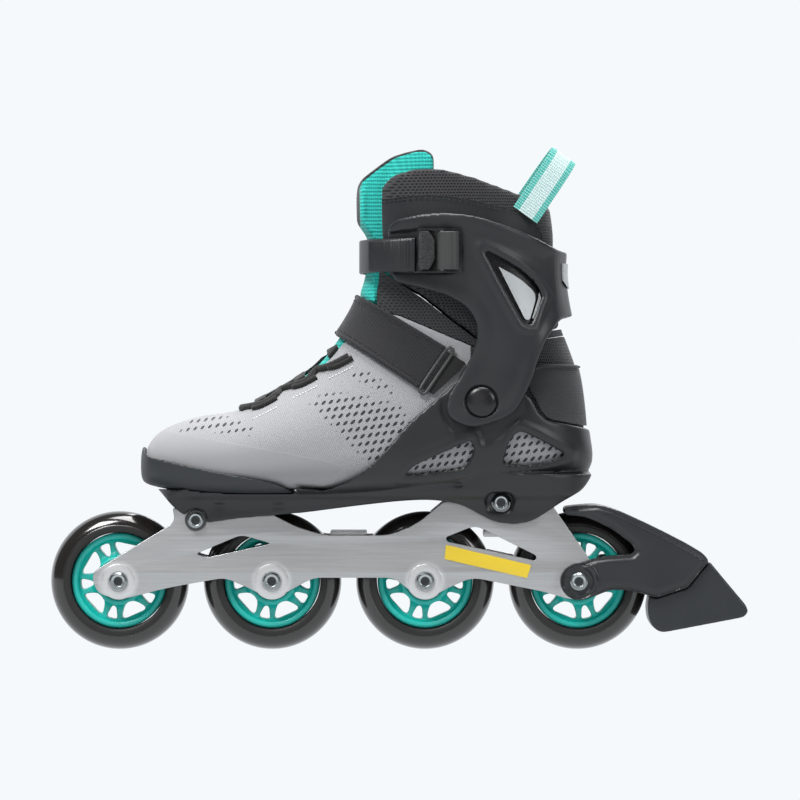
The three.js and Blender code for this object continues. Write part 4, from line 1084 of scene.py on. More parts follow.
def shellShape():
    shell = skin(shellSizes["outer"])
    cut(shell, keel(), "UNION")
    cut(shell, prism("cut", shellPlan, -90, 90, lift=deck), "INTERSECT")
    for (x, z), size in ((frontBolt, 12), (rearBolt, 16)):
        cut(shell, block("pedestal", (x - size, x + size), (-14.2, 14.2), (z - 5.7, z + 8)), "UNION")
    cut(shell, skin(shellSizes["inner"]))
    cut(shell, wall("bumperRoom", 0.1, 3.0, [[-156, 8.4], *reversed(bumperFoot), [-58.5, 20], [-156, 20]]))
    for sign in (-1, 1):
        near, far = sorted((sign * 14.2, sign * 17.8))
        for (x, z), ahead, behind, height in ((frontBolt, 17, 58, 3.3), (rearBolt, 43, 37, 6.3)):
            cut(shell, block("slot", (x - ahead, x + behind), (near, far), (deck - 20, deck + height)))
        near, far = sorted((sign * 17.5, sign * 90))
        cut(shell, cylinder("recess", 6.5, near, far, *frontBolt))
        cut(shell, cylinder("recess", 5.3, near, far, *rearBolt))
        near, far = sorted((sign * 19.4, sign * 90))
        oval = [[rearBolt[0] - 9, rearBolt[1] - 6.5, 6], [rearBolt[0] + 7.5, rearBolt[1] - 6.5, 6],
                [rearBolt[0] + 7.5, rearBolt[1] + 6.5, 6], [rearBolt[0] - 9, rearBolt[1] + 6.5, 6]]
        cut(shell, prism("recess", oval, near, far))
        # two small slots in the lower edge
        near, far = sorted((sign * shellSizes["flange"], sign * 90))
        for x in (-104, -70):
            small = [[x - 4, 1.2, 1.6], [x + 4, 1.2, 1.6], [x + 4, 4.6, 1.6], [x - 4, 4.6, 1.6]]
            cut(shell, prism("small", small, near, far, lift=deck))
    for x in axles:
        cut(shell, cylinder("well", deck / 2 + 2.3, -14.5, 14.5, x, axleHeight, 96))
    for vent in (frontVent, rearVent):
        cut(shell, prism("vent", vent, -90, 90, lift=deck))
        # the vent sits in a shallow sunk border
        border = prism("border", grownOutline(vent, 2.2), -90, 90, lift=deck)
        cut(border, skin(shellSizes["outer"] - 0.9))
        cut(shell, border)
    # sunk seat for the cuff round its pivot, and a crease under the vents
    seat = cylinder("seat", 24, -90, 90, pivot[0], pivot[1] + deck, 96)
    cut(seat, skin(shellSizes["outer"] - 0.7))
    cut(shell, seat)
    cut(shell, channel(ventCrease, 4.5, 1.5))
    cut(shell, cylinder("pivotHole", 3.8, -90, 90, pivot[0], pivot[1] + deck))
    return shell


shell = soften(shellShape(), shellSizes["voxel"], 4)
shell.name = "soleShell"
raisedRim(shell, [[c[:2] for c in frontVent], [c[:2] for c in rearVent]], 1.0, 3.0, 8.0, deck)
shell = smooth(shell, 60)
finishPiece(shell, root, "shell", shellPlastic, "sole_shell")
print("shell made")

bumperOutline = [
    *[[x, z + 0.3] for x, z in bumperFoot], [-143.9, 15.3], [-156, 20], [-156, 38], [-148.5, 37.6],
    [-145.5, 31.9, 4], [-128, 28.8, 6], [-101.5, 22.9, 8], [-80.4, 18.7, 8], [-69.8, 16.6, 4],
]
bumper = soften(wall("toeBumper", 0.3, 2.7, bumperOutline), 0.9, 4)
finishPiece(bumper, root, "bumper", bumperRubber, "toe_bumper")

cuffOutline = [
    [-4.6, 138.8], [-7.2, 162, 4], [-3, 167.3, 4], [12.8, 170.4, 5], [28.6, 170.8, 6], [44.5, 168.8, 6],
    [65.5, 162, 5], [80.3, 155.7, 4], [91, 150.6, 2], [112, 146], [112, 116], [92.4, 111, 3],
    [82.9, 98.8, 5], [78.1, 86.1, 4], [75, 75.6, 4], [69.7, 65, 4], [65.2, 57.8, 4], [57.9, 53.4, 4],
    [40.5, 48.4, 7], [28.1, 54.1, 5], [26.3, 60.7, 3], [28.1, 67.9, 3], [38.3, 84, 5], [42.6, 94.1, 4],
    [44.5, 102, 4], [43.3, 110.3, 4], [38.1, 117.7, 4], [27.6, 124, 4], [12.8, 128.2, 5], [-3, 131.9, 3],
]
cuffWindow = [[47.5, 150.3, 2], [66.5, 140.8, 8], [78, 131.3, 5], [81.7, 123.9, 3], [74.9, 107.1, 2],
              [70.7, 108.2, 2], [57, 132.3, 6]]
buckleSlot = [[-12, 159.7, 2], [10.7, 161.8, 3], [30.7, 162.0, 4], [33.9, 159.7, 4], [34.9, 149.2, 4],
              [33.9, 139.7, 4], [29.6, 136.5, 4], [-12, 137.4, 2]]


def cuffShape():
    cuff = wall("cuffShell", cuffSizes["inner"], cuffSizes["outer"], cuffOutline)
    cut(cuff, prism("window", cuffWindow, -90, 90, lift=deck))
    # sunk border of the window, with its lip
    border = prism("border", grownOutline(cuffWindow, 1.9), -90, 90, lift=deck)
    cut(border, skin(cuffSizes["outer"] - 0.8))
    cut(cuff, border)
    # sunk seat for the buckle on the outer side
    seat = prism("seat", buckleSlot, -90, 0, lift=deck)
    cut(seat, skin(cuffSizes["outer"] - 1.6))
    cut(cuff, seat)
    cut(cuff, cylinder("pivotHole", 3.8, -90, 90, pivot[0], pivot[1] + deck))
    ringSeat = cylinder("ringSeat", 9.3, -90, 90, pivot[0], pivot[1] + deck, 96)
    cut(ringSeat, skin(cuffSizes["outer"] - 1.6))
    return cut(cuff, ringSeat)


cuff = soften(cuffShape(), cuffSizes["voxel"], 4)
raisedRim(cuff, [[c[:2] for c in cuffOutline if c[0] < 111]], 0.9, 2.0, 10.0, deck)
raisedRim(cuff, [[c[:2] for c in cuffWindow]], 0.8, 2.5, 7.0, deck)
cuff = smooth(cuff, 60)
finishPiece(cuff, "cuff", "cuff", cuffPlastic, "cuff")
print("cuff made")


def rivetShape():
    low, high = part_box("cuff_rivet_outer_side")
    face = low.y / mm
    x, z = pivot[0], pivot[1] + deck
    dome = ((0.01, 0), (3.0, 0.12), (6.0, 0.6), (7.6, 1.2), (8.3, 1.8), (8.5, 2.2), (8.5, 2.6), (3.5, 2.6))
    profile = [(radius, face + depth) for radius, depth in dome]
    profile += [(3.5, high.y / mm), (0.01, high.y / mm)]
    return smooth(spun("rivetShape", profile, x, 0, z, 64), 40)


rivet = rivetShape()
finishPiece(copyOf(rivet, "cuffRivetOuter"), root, "shell", blackPlastic, "cuff_rivet_outer_side")
finishPiece(mirroredCopy(rivet, "cuffRivetInner"), root, "shell", blackPlastic, "cuff_rivet_inner_side")
remove(rivet)

insertOutline = [[56.2, 140.4, 0.8], [68.6, 133.6, 6], [76.9, 126.2, 3], [77.6, 121.8, 3], [74.0, 110.0, 1.2],
                 [71.4, 110.4, 1.2]]
glintOutline = [[79.6, 126.2, 0.4], [80.9, 122.6, 1], [76.6, 109.9, 0.4], [75.6, 111.4, 0.4],
                [79.0, 122.2, 1]]
insertDepth = (cuffSizes["inner"] + 0.3, cuffSizes["inner"] + 1.6)
insert = joined("cuffInsertOuter", [wall("insert", *insertDepth, insertOutline, -90, 0),
                                    wall("glint", *insertDepth, glintOutline, -90, 0)])
insert = smooth(insert, 40)
windowBack = smooth(wall("windowBack", 3.0, 4.3, grownOutline(cuffWindow, 3)), 40)
finishPiece(windowBack, "cuff", "cuff", blackPlastic)
finishPiece(mirroredCopy(insert, "cuffInsertInner"), "cuff", "silver", silverFoil, "cuff_insert_inner_side")
finishPiece(insert, "cuff", "silver", silverFoil, "cuff_insert_outer_side")
reflector = wall("rearReflector", cuffSizes["outer"] + 0.2, cuffSizes["outer"] + 1.0,
                 [[86, 143, 1], [112, 143], [112, 129], [97, 129, 1]], -18, 18)
finishPiece(smooth(reflector, 40), "cuff", "silver", silverFoil, "reflector")


# soft boot
collarFoot = [[-13.5, 141], [13.3, 122.8], [31, 109], [49, 95.5], [62, 101], [105, 107.5]]
upperTop = [[-34, 121], [0.2, 112.6], [42.5, 94.7], [46, 91], [60, 96], [105, 102.8]]
collarRim = [[105, 170], [84.2, 176.7, 3], [66.1, 183.1, 5], [44.8, 191, 6], [23.6, 196.9, 6],
             [7.6, 196.9, 5], [-3, 193.7, 4], [-11.5, 187.4, 4], [-13.5, 179.4, 2]]
collarSeam = [(-11.4, 179.3), (12.9, 181.4), (34.0, 179.8), (55.2, 175.0), (72.1, 170.8), (79.5, 163.4),
              (81.5, 157)]
throat = [[-91, 200], [-91, 48], [-60, 48], [60, 90], [60, 200]]
throatHalf = 16
softSizes = {"upperWall": 3.0, "collarWall": 8.0, "tongueWall": 5.0, "tongueStep": 7.0}


def upperShape():
    region = [[-156, 0], [125, 0], *reversed(upperTop), [-60, 150], [-156, 150]]
    made = wall("upper", -softSizes["upperWall"], 0, region)
    return cut(made, prism("opening", throat, -throatHalf, throatHalf, lift=deck))


# where the knit is open, in the side view
openFields = [
    [(-127.6, 44.7), (-121.8, 54), (-110.2, 56.9), (-95.7, 54.5), (-83.5, 48.2), (-83.5, 43.5), (-95.7, 44.7),
     (-110.2, 45.8)],
    [(-52.2, 62.1), (-44.1, 68.5), (-26.1, 68.5), (0, 62.1), (8.7, 47), (20, 50), (130, 50), (130, 0), (5, 0),
     (5, 20.9), (-11.6, 20.9), (-28.4, 38.3), (-41.8, 52.2)],
    [(-30.7, 80.6), (-22, 83), (-2.9, 71.4), (-2.9, 66.7), (-16.2, 71.4), (-29, 77.2)],
]
fusedField = [(-160, 52), (-130.5, 45.8), (-86, 38), (-41.8, 29.6), (-32.5, 26.2), (-52.2, 9), (-160, 9)]


def inField(point, fields):
    # how far inside the nearest field a point lies, in mm, and less than nothing outside all
    best = -20.0
    for loop in fields:
        distance, inside = edgeDistance(point.x, point.z - deck, loop)
        best = max(best, distance if inside else -distance)
    return best


# small even faces, so that what is painted on the corners has clean edges
upper = modify(upperShape(), "REMESH", mode="VOXEL", voxel_size=1.3 * mm)
paint(upper, "openKnit", lambda p: inField(p, openFields))
paint(upper, "fusedBand", lambda p: inField(p, [fusedField]))
smooth(upper, 60)
finishPiece(upper, root, "knit", lightKnit, "upper")


def inflate(piece, voxel, pressure, cap):
    # stuffing: an even skin swells under pressure, no point further than cap from where it was
    modify(piece, "REMESH", mode="VOXEL", voxel_size=voxel * mm)
    start = [v.co.copy() for v in piece.data.vertices]
    cloth = piece.modifiers.new("cloth", "CLOTH")
    cloth.settings.use_pressure = True
    cloth.settings.uniform_pressure_force = pressure
    cloth.settings.effector_weights.gravity = 0
    cloth.settings.quality = 4
    for step in range(1, 16):
        bpy.context.scene.frame_set(step)
    activate(piece)
    bpy.ops.object.modifier_apply(modifier="cloth")
    bpy.context.scene.frame_set(1)
    for vertex, old in zip(piece.data.vertices, start):
        way = vertex.co - old
        if way.length > cap * mm:
            vertex.co = old + way.normalized() * cap * mm
    modify(piece, "SMOOTH", factor=0.5, iterations=3)
    modify(piece, "SUBSURF", levels=1, render_levels=1)
    activate(piece)
    bpy.ops.object.shade_smooth()
    return piece


collar = wall("collar", -softSizes["collarWall"] + 0.8, -0.8, [*collarFoot, *collarRim])
cut(collar, block("opening", (-60, 10), (-throatHalf - 2, throatHalf + 2), (deck, deck + 300)))
inflate(collar, voxel=2.4, pressure=3.0, cap=1.2)
smoothPanel = [(-60, 179.3), *collarSeam, (81.5, 134), (-60, 134)]
paint(collar, "belowSeam", lambda p: inField(p, [smoothPanel]))
finishPiece(collar, "cuff", "liner", collarCloth, "collar")
print("collar made")


def gussetShape():
    low = [[x, z + 0.5] for x, z in upperTop]
    high = [[x, z - 0.5] for x, z in reversed(collarFoot)]
    made = wall("ankleGusset", -3.5, -0.3, [*low, *high])
    cut(made, block("clip", (-200, -13.2), (-90, 90), (deck, deck + 200)))
    return cut(made, prism("opening", throat, -throatHalf - 0.3, throatHalf + 0.3, lift=deck))


gusset = dress(smooth(gussetShape(), 45), linerMesh)
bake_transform(gusset)
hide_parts("ankle_gusset")


def tongueShape():
    depth = -softSizes["collarWall"] - softSizes["tongueWall"] + 0.5
    half = throatHalf - 0.6
    underLace = [[-90.5, 150], [-90.5, 52], [-59, 52], [-8, 108], [-50, 150]]
    middle = [[-50, 118], [-18, 104], [-2, 124], [-2, 208], [-18, 203], [-34, 192]]
    overShin = [[-45, 138.2], [-24.2, 125.6], [-13.9, 119.4], [-13.9, 204.5, 2], [-18, 203, 4], [-34, 192, 6]]
    wings = [[-18, 145], [6, 150, 4], [19, 190, 4], [19.5, 205.6, 3], [13, 208.8, 3], [4.5, 207.1, 3],
             [-18, 199]]
    made = wall("tongue", -softSizes["tongueWall"], -0.6, underLace, -half, half)
    parts = [
        wall("middle", depth, -0.6, middle, -half, half),
        wall("overShin", -3, 1.6, overShin, -24, 24),
        wall("wings", depth, -softSizes["collarWall"] - 0.6, wings),
    ]
    for part in parts:
        cut(made, part, "UNION")
    # above the ladder strap it stands forward, and its top is cut to a round line
    modify(made, "REMESH", mode="VOXEL", voxel_size=1.2 * mm)
    for vertex in made.data.vertices:
        x, z = vertex.co.x / mm, vertex.co.z / mm - deck
        vertex.co.x -= softSizes["tongueStep"] * mm * smoothStep(z, 156, 170) * (1 - smoothStep(x, -16, 10))
    top = [[-60, 40], [-60, 140], [-24.5, 150], [-25.3, 186, 5], [-23.2, 191, 3], [-4, 205.6, 7],
           [9, 208.8, 6], [17, 208.2, 5], [21, 203.5, 3], [22, 196], [40, 190], [40, 40]]
    return cut(made, prism("top", top, -60, 60, lift=deck), "INTERSECT")


tongue = inflate(tongueShape(), voxel=1.5, pressure=2.0, cap=0.5)
tongueEdge = [(-28, 120), (-25.0, 150), (-25.6, 186.6), (-23.6, 191.2), (-14, 198.8), (-4, 205.6), (3, 207.6),
              (9, 208.9), (15, 208.8), (19.2, 206.4), (21.2, 202), (21.8, 190)]
paint(tongue, "fromEdge", lambda p: edgeDistance(p.x, p.z - deck, tongueEdge, False)[0])
dress(tongue, tealKnit)
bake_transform(tongue)
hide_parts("tongue")
print("tongue made")


def footbedShape():
    region = [[-140, 5], [110, 5], [110, 26], [60, 24], [0, 20], [-140, 21]]
    made = prism("footbed", region, -90, 90, lift=deck)
    return cut(made, skin(-3.4), "INTERSECT")


footbed = smooth(footbedShape(), 45)
finishPiece(footbed, root, "liner", linerPanel, "footbed")

heelOutline = [[70, 79.5], [76, 86], [112, 83], [112, 49.4], [105.3, 49.7], [96.6, 51.5], [85, 53.7, 3],
               [81.2, 57.9, 3], [76.4, 67.4]]
hemLine = [(72, 80.6), (80, 83.6), (90, 83.9), (100, 83.2), (103.5, 82.9)]
heel = smooth(wall("heelPanel", 0.3, 1.9, heelOutline), 45)
hem = [tube("hem", skinLine(hemLine, 1.9, sign), 1.0) for sign in (-1, 1)]
heel = joined("heelPanel", [heel, *hem])
finishPiece(heel, root, "liner", heelWeave, "heel_panel")
print("soft boot made")


# instep strap, its ring and its anchor
strapTop = {"low": (25.6, 93.6), "high": (-24.2, 123.7)}
strapFoot = {"low": (10.8, 71.9), "high": (-39, 104.7)}
strapRegion = [strapTop["low"], strapTop["high"], (-40, 133), (-60, 118), strapFoot["high"], strapFoot["low"]]


def shellRoom(low, high):
    # the space of the sole shell, with a little room round it
    corners = [[x - 1.2, z + 0.8, *rest] for x, z, *rest in shellOutline]
    return cut(prism("shellRoom", corners, low, high, lift=deck), skin(3.6), "INTERSECT")


def strapShape():
    outer = wall("powerStrap", 0.9, 3.3, strapRegion, -90, 0.01)
    inner = wall("inner", 0.9, 3.3, [[37, 86.7], *strapRegion[:-1], [20, 65.6]], 0, 90)
    cut(inner, shellRoom(0, 90))
    return cut(outer, inner, "UNION")


def between(a, b, t):
    return (a[0] + (b[0] - a[0]) * t, a[1] + (b[1] - a[1]) * t)


def stitches(name, line, length=1.9, space=1.1, radius=0.28):
    # short threads along a line of points
    run, verts, faces = 0.0, [], []
    for a, b in zip(line, line[1:]):
        run += (b - a).length
        if run < length + space:
            continue
        run = 0.0
        way = (b - a).normalized()
        side = way.cross(Vector((0, 1, 0)))
        side = side.normalized() if side.length > 0.1 else Vector((1, 0, 0))
        up = side.cross(way).normalized()
        base = len(verts)
        for share, size in ((-0.5, 0.45), (-0.25, 1.0), (0.25, 1.0), (0.5, 0.45)):
            for k in range(6):
                turn = k * math.pi / 3
                around = side * math.cos(turn) + up * math.sin(turn)
                verts.append(b + way * share * length + around * radius * size)
        for ringIndex in range(3):
            for k in range(6):
                p, q = base + ringIndex * 6 + k, base + ringIndex * 6 + (k + 1) % 6
                faces.append((p, q, q + 6, p + 6))
        faces += [tuple(range(base + 5, base - 1, -1)), tuple(range(base + 18, base + 24))]
    return smooth(facesOut(meshPiece(name, verts, faces)), 60)


strap = soften(strapShape(), 0.8, 3)
edges = []
for sign in (-1, 1):
    for edge in (strapTop, strapFoot):
        line = [between(edge["low"], edge["high"], t / 6) for t in range(7)]
        edges.append(tube("edge", skinLine(line, 2.3, sign), 1.5))
strap = joined("powerStrap", [strap, *edges])
finishPiece(strap, root, "strap", strapWeave, "power_strap")
strapStitches = []
for edge, inset in ((strapTop, -1), (strapFoot, 1)):
    # a row of threads just inside each edge
    line = []
    for t in range(7):
        x, z = between(edge["low"], edge["high"], t / 6)
        line.append((x + 1.6 * inset * 0.55, z + 1.6 * inset * 0.83 + (2.6 * inset * 0.3)))
    strapStitches.append(stitches("threads", skinLine(line, 3.4, -1, 1.0)))
threads = joined("strapThreads", strapStitches)
finishPiece(threads, root, "strap", stitchThread)


def strapEnd(u, v):
    # u along the strap's outer end, v beyond it
    (x, z), (topX, topZ) = strapFoot["low"], strapTop["low"]
    size = math.hypot(topX - x, topZ - z)
    alongX, alongZ = (topX - x) / size, (topZ - z) / size
    return (x + alongX * u + alongZ * v, z + alongZ * u - alongX * v)


strapWidth = math.hypot(strapTop["low"][0] - strapFoot["low"][0], strapTop["low"][1] - strapFoot["low"][1])
ringCorners = [strapEnd(u, v) for u, v in (
    (-1.2, 1.3), (strapWidth / 2, 1.0), (strapWidth + 1.0, 1.3), (strapWidth + 2.0, 3.3),
    (strapWidth + 1.0, 5.2), (strapWidth / 2, 5.4), (-1.2, 5.2), (-2.0, 3.3))]
strapRing = tube("strapRing", skinLine(ringCorners, 2.4, -1, 1.0, closed=True), 1.05, closed=True)
finishPiece(strapRing, root, "bumper", leverPlastic, "strap_ring")


def anchorShape():
    start = 2.6
    region = [[*strapEnd(strapWidth - 0.5, start)], [38.3, 85.2], [19, 67.4], [*strapEnd(0.5, start)]]
    return cut(wall("strapAnchor", 0.5, 2.0, region, -90, 0), shellRoom(-90, 0))


finishPiece(smooth(anchorShape(), 40), root, "strap", bindingTape, "strap_anchor")
print("straps made")


# lace
laceRows = [[-78, 59.7], [-55, 71.8], [-34.5, 83]]
throatRun, throatRise = 24, 12.6
acrossX = throatRun / math.hypot(throatRun, throatRise)
acrossZ = throatRise / math.hypot(throatRun, throatRise)
laceRun = [(-91, 59.0), (-84, 60.2), (-77.5, 61.8), (-71.5, 66.0), (-68.5, 69.4), (-64.5, 71.0), (-58, 72.8),
           (-53, 75.0), (-49.5, 79.0), (-46.5, 81.6), (-42, 82.6), (-36, 85.2), (-29, 89.0)]


def laceShape():
    made = None
    for i, (x, z) in enumerate(laceRows):
        reach = throatHalf + 2.5
        dx, dz = acrossX * 3.6, acrossZ * 3.6
        corners = [[x - dx, z - dz - 4], [x + dx, z + dz - 4],
                   [x + dx - 5, z + dz + 12], [x - dx - 5, z - dz + 12]]
        bar = wall("lace", 0.4, 2.2, corners, -reach, reach)
        made = bar if made is None else cut(made, bar, "UNION")
        if i:
            fromX, fromZ = laceRows[i - 1]
            low, high = (6, 12) if (i - 1) % 2 else (-12, -6)
            corners = [[fromX, fromZ - 6], [x, z - 6], [x - 6, z + 9], [fromX - 6, fromZ + 9]]
            cut(made, wall("link", 0.4, 2.0, corners, low, high), "UNION")
    return made


lace = soften(laceShape(), 0.6, 4)
loops = []
for sign in (-1, 1):
    # the flat lace comes out of a slot in the knit beside each bar and folds back over the edge
    for x, z in laceRows:
        line = [(x - 6, z - 0.6), (x - 2, z + 0.2), (x + 3, z + 2.6), (x + 7.5, z + 5.2)]
        loops.append(tube("loop", skinLine(line, 0.9, sign, 1.0), 1.7))
    loops.append(tube("run", skinLine(laceRun, 0.8, sign, 1.0), 2.3))
lace = joined("lace", [lace, *loops])
finishPiece(lace, root, "strap", laceWeave, "lace")
rowThreads = []
for sign in (-1, 1):
    for x, z in laceRows:
        line = [(x - 7.5, z - 7.0), (x, z - 3.4), (x + 7.5, z + 0.4)]
        rowThreads.append(stitches("threads", skinLine(line, 0.25, sign, 0.4), 1.1, 0.5, 0.38))
finishPiece(joined("rowThreads", rowThreads), root, "knit", paleThread)
print("lace made")


# the collar's seam and the pull loop
seams = []
for sign in (-1, 1):
    for below in (0, 1.8):
        line = skinLine([(x, z - below) for x, z in collarSeam], 0.35, sign, 0.8)
        seams.append(stitches("threads", line, 1.9, 0.9, 0.3))
finishPiece(joined("collarThreads", seams), "cuff", "liner", stitchThread)

pullPath = [(4.4, -7), (4.4, 8), (3.8, 26), (0.4, 34.6), (-3.4, 26), (-5.0, 12), (-6.0, 0)]
pullSizes = {"thickness": 1.3, "half": 8.4, "lean": 34.5, "facing": 12, "foot": (74.6, -28.5, 176.0)}


def pullShape():
    lean, facing = math.radians(pullSizes["lean"]), math.radians(pullSizes["facing"])
    out = Vector((math.sin(facing), -math.cos(facing), 0))
    back = Vector((math.cos(facing), math.sin(facing), 0))
    up = back * math.sin(lean) + Vector((0, 0, math.cos(lean)))
    across = out.cross(up)
    foot = Vector(pullSizes["foot"]) + Vector((0, 0, deck))
    line = smoothLine(pullPath, 1.2)
    verts, faces, maps = [], [], []
    columns = [-1, -0.6, -0.2, 0.2, 0.6, 1]
    for i, at in enumerate(line):
        way = (line[min(i + 1, len(line) - 1)] - line[max(i - 1, 0)]).normalized()
        normal = Vector((-way.y, way.x))
        for face in (0.5, -0.5):
            for c in columns:
                spot = at + normal * pullSizes["thickness"] * face * (1 - 0.35 * (abs(c) == 1))
                verts.append(foot + out * spot.x + up * spot.y + across * c * pullSizes["half"])
                maps.append(((c + 1) / 2, i / (len(line) - 1)))
    width = len(columns)
    loop = [*range(width), *range(2 * width - 1, width - 1, -1)]
    for i in range(len(line) - 1):
        a, b = i * 2 * width, (i + 1) * 2 * width
        for p, q in zip(loop, loop[1:] + loop[:1]):
            faces.append((a + p, a + q, b + q, b + p))
    last = (len(line) - 1) * 2 * width
    faces += [tuple(loop), tuple(last + k for k in reversed(loop))]
    made = meshPiece("pullLoop", verts, faces)
    layer = made.data.uv_layers.new(name="UVMap")
    for loopPoint in made.data.loops:
        layer.data[loopPoint.index].uv = maps[loopPoint.vertex_index]
    activate(made)
    bpy.ops.object.mode_set(mode="EDIT")
    bpy.ops.mesh.select_all(action="SELECT")
    bpy.ops.mesh.normals_make_consistent(inside=False)
    bpy.ops.object.mode_set(mode="OBJECT")
    return smooth(made, 50)


finishPiece(pullShape(), "cuff", "loop", loopWebbing, "pull_loop")
print("pull loop made")


# ladder strap and buckle
ladder = {"low": 137.5, "width": 19, "thick": 2.8, "toothPitch": 1.7, "toothHeight": 1.0,
          "toothed": (1.5, 34)}
ladderPath = [(8.7, -48.4), (0, -44.6), (-9.5, -36.4), (-17.4, -25), (-21.6, -12), (-22.6, 0),
              (-21.6, 12), (-17.4, 25), (-9.5, 36.4), (0, 44.6), (12, 49.8), (26, 51.6)]
buckle = {"x": (9.9, 35.2), "z": (136.6, 161.8), "back": -52.2, "pin": (23.8, -55.2)}


def ladderShape():
    line = smoothLine(ladderPath, 0.45)
    run, verts, faces = 0.0, [], []
    width = ladder["width"]
    heights = [0, 0.6, 1.6, width - 1.6, width - 0.6, width]
    sectionSize = len(heights) + 2
    for i, at in enumerate(line):
        before, after = line[max(i - 1, 0)], line[min(i + 1, len(line) - 1)]
        way = (after - before).normalized()
        out = Vector((-way.y, way.x))
        if i:
            run += (at - line[i - 1]).length
        toothed = ladder["toothed"][0] < run < ladder["toothed"][1]
        tooth = ladder["toothHeight"] * ((run / ladder["toothPitch"]) % 1.0) if toothed else 0
        half = ladder["thick"] / 2
        for k, height in enumerate(heights):
            edge = k in (0, len(heights) - 1)
            rise = half - 0.35 + (tooth if k in (2, 3) else 0) - (0.5 if edge else 0)
            spot = at + out * rise
            verts.append((spot.x, spot.y, deck + ladder["low"] + height))
        for height in (width, 0):
            spot = at - out * (half - 0.2)
            verts.append((spot.x, spot.y, deck + ladder["low"] + height))
    for i in range(len(line) - 1):
        a, b = i * sectionSize, (i + 1) * sectionSize
        for k in range(sectionSize):
            q = (k + 1) % sectionSize
            faces.append((a + k, a + q, b + q, b + k))
    last = (len(line) - 1) * sectionSize
    faces += [tuple(range(sectionSize - 1, -1, -1)), tuple(range(last, last + sectionSize))]
    return smooth(facesOut(meshPiece("ladderStrap", verts, faces)), 30)


ladderStrap = ladderShape()
finishPiece(ladderStrap, "cuff", "ladder", cuffPlastic, "ladder_strap")
screwProfile = [(0.01, 50), (2.0, 50), (2.0, 53.2), (4.0, 53.2), (4.0, 54.0), (3.2, 54.7), (1.6, 54.8),
                (1.2, 54.1), (0.01, 54.1)]
screw = spun("ladderScrew", screwProfile, 20, 0, deck + 147, 40)
finishPiece(smooth(screw, 35), "cuff", "steel", brightSteel, "ladder_screw")


def buckleBaseShape():
    (left, right), (low, high) = buckle["x"], buckle["z"]
    back, (pinX, pinY) = buckle["back"], buckle["pin"]
    base = block("buckleBase", (left, right), (back, -40), (deck + low, deck + high))
    cut(base, skin(cuffSizes["outer"] - 1.4))
    for start in (low, high - 1.4):
        ear = block("ear", (pinX - 2.6, pinX + 2.6), (pinY - 2.4, back + 0.5),
                    (deck + start, deck + start + 1.4))
        cut(base, ear, "UNION")
    cut(base, block("bed", (left - 1, 20.9), (-90, back + 0.8), (deck + low + 1.2, deck + high - 1.2)))
    modify(base, "BEVEL", width=0.35 * mm, segments=2, limit_method="ANGLE", angle_limit=math.radians(50))
    return smooth(base, 40)


finishPiece(buckleBaseShape(), "cuff", "shell", blackPlastic, "buckle_base")
pin = cylinder("bucklePin", 1.2, 0, 24.8)
pin.data.transform(Matrix.Rotation(math.pi / 2, 4, "X"))
moved(pin, buckle["pin"][0], buckle["pin"][1], deck + buckle["z"][0] + 0.2)
finishPiece(smooth(pin, 35), "cuff", "steel", brightSteel, "buckle_pin")


def leverShape():
    (_, right), (low, high) = buckle["x"], buckle["z"]
    back, (pinX, pinY) = buckle["back"], buckle["pin"]
    radius = 2.6
    corners = [[pinX + radius * math.cos(a), pinY + radius * math.sin(a)]
               for a in [math.pi / 2 + math.pi * k / 12 for k in range(13)]]
    corners += [[pinX + 4, pinY - radius - 0.45, 2], [right - 4.5, pinY - radius - 0.2, 2],
                [right - 1.6, pinY - 0.6, 1.2], [right - 1.6, back - 0.5, 0.4]]
    made = prism("buckleLever", corners, deck + low + 1.8, deck + high - 1.8, "Z")
    # finger scallop at the free end
    hollow = cylinder("hollow", 9, pinY - 20, pinY - radius + 0.1, right + 4.5, deck + 149.2, 64)
    cut(made, hollow)
    return soften(made, 0.35, 3)


finishPiece(leverShape(), "buckle_lever", "cuff", leverPlastic, "buckle_lever")


def releaseShape():
    (low, high), back = buckle["z"], buckle["back"]
    corners = [[10.5, back - 1.9], [12.4, back - 4.1, 2], [15.2, back - 4.9, 3], [18.6, -56.5, 1.5],
               [20.2, -55.2, 1.2], [19.4, -53.4, 0.8], [10.9, back - 1.0]]
    made = prism("buckleRelease", corners, deck + low + 1.6, deck + high - 1.6, "Z")
    # both ends are rounded off in the side view
    middle, reach = (low + high) / 2, 11.4
    shares = [k / 6 for k in range(-6, 7)]
    ends = [[9.6 + 1.6 * share ** 2, middle + share * reach] for share in shares]
    ends += [[20.6 - 4.8 * share ** 2, middle + share * reach] for share in reversed(shares)]
    cut(made, prism("ends", ends, -70, -45, lift=deck), "INTERSECT")
    return soften(made, 0.3, 1)


finishPiece(releaseShape(), "buckle_release", "shell", knurledPlastic, "buckle_release")
print("buckle made")


# heel brake
brake = {"inside": 17.8, "plate": 3.0, "eye": 10.7, "recess": 8.5, "edge": 1.5, "voxel": 0.8,
         "drawnAxle": 102.9}
brakeOutside = brake["inside"] + brake["plate"]
brakeCorners = [
    [95, 82.6], [103.1, 83.6, 4], [113.5, 84.4, 5], [123.7, 81.8, 5], [136.2, 76.3, 6], [150.9, 69.3, 6],
    [165.7, 61.6, 5], [174.6, 56.2, 3], [178.4, 51.7, 2], [165.7, 36.2], [147.6, 30.4, 2],
    [133.3, 34.6, 4], [121.5, 35.3, 4], [112.7, 31.5, 4], [103, 28.3, 7], [94, 32.5, 6], [92.2, 40, 6],
    [95.5, 48, 5], [104, 51, 3], [112.7, 53.9, 3], [121.5, 54.9, 3], [133.3, 55.7, 1], [135.5, 57.9, 1],
    [133.3, 61.6, 2], [121.5, 70.4, 5], [106.8, 77.2, 5], [95, 78.2],
]
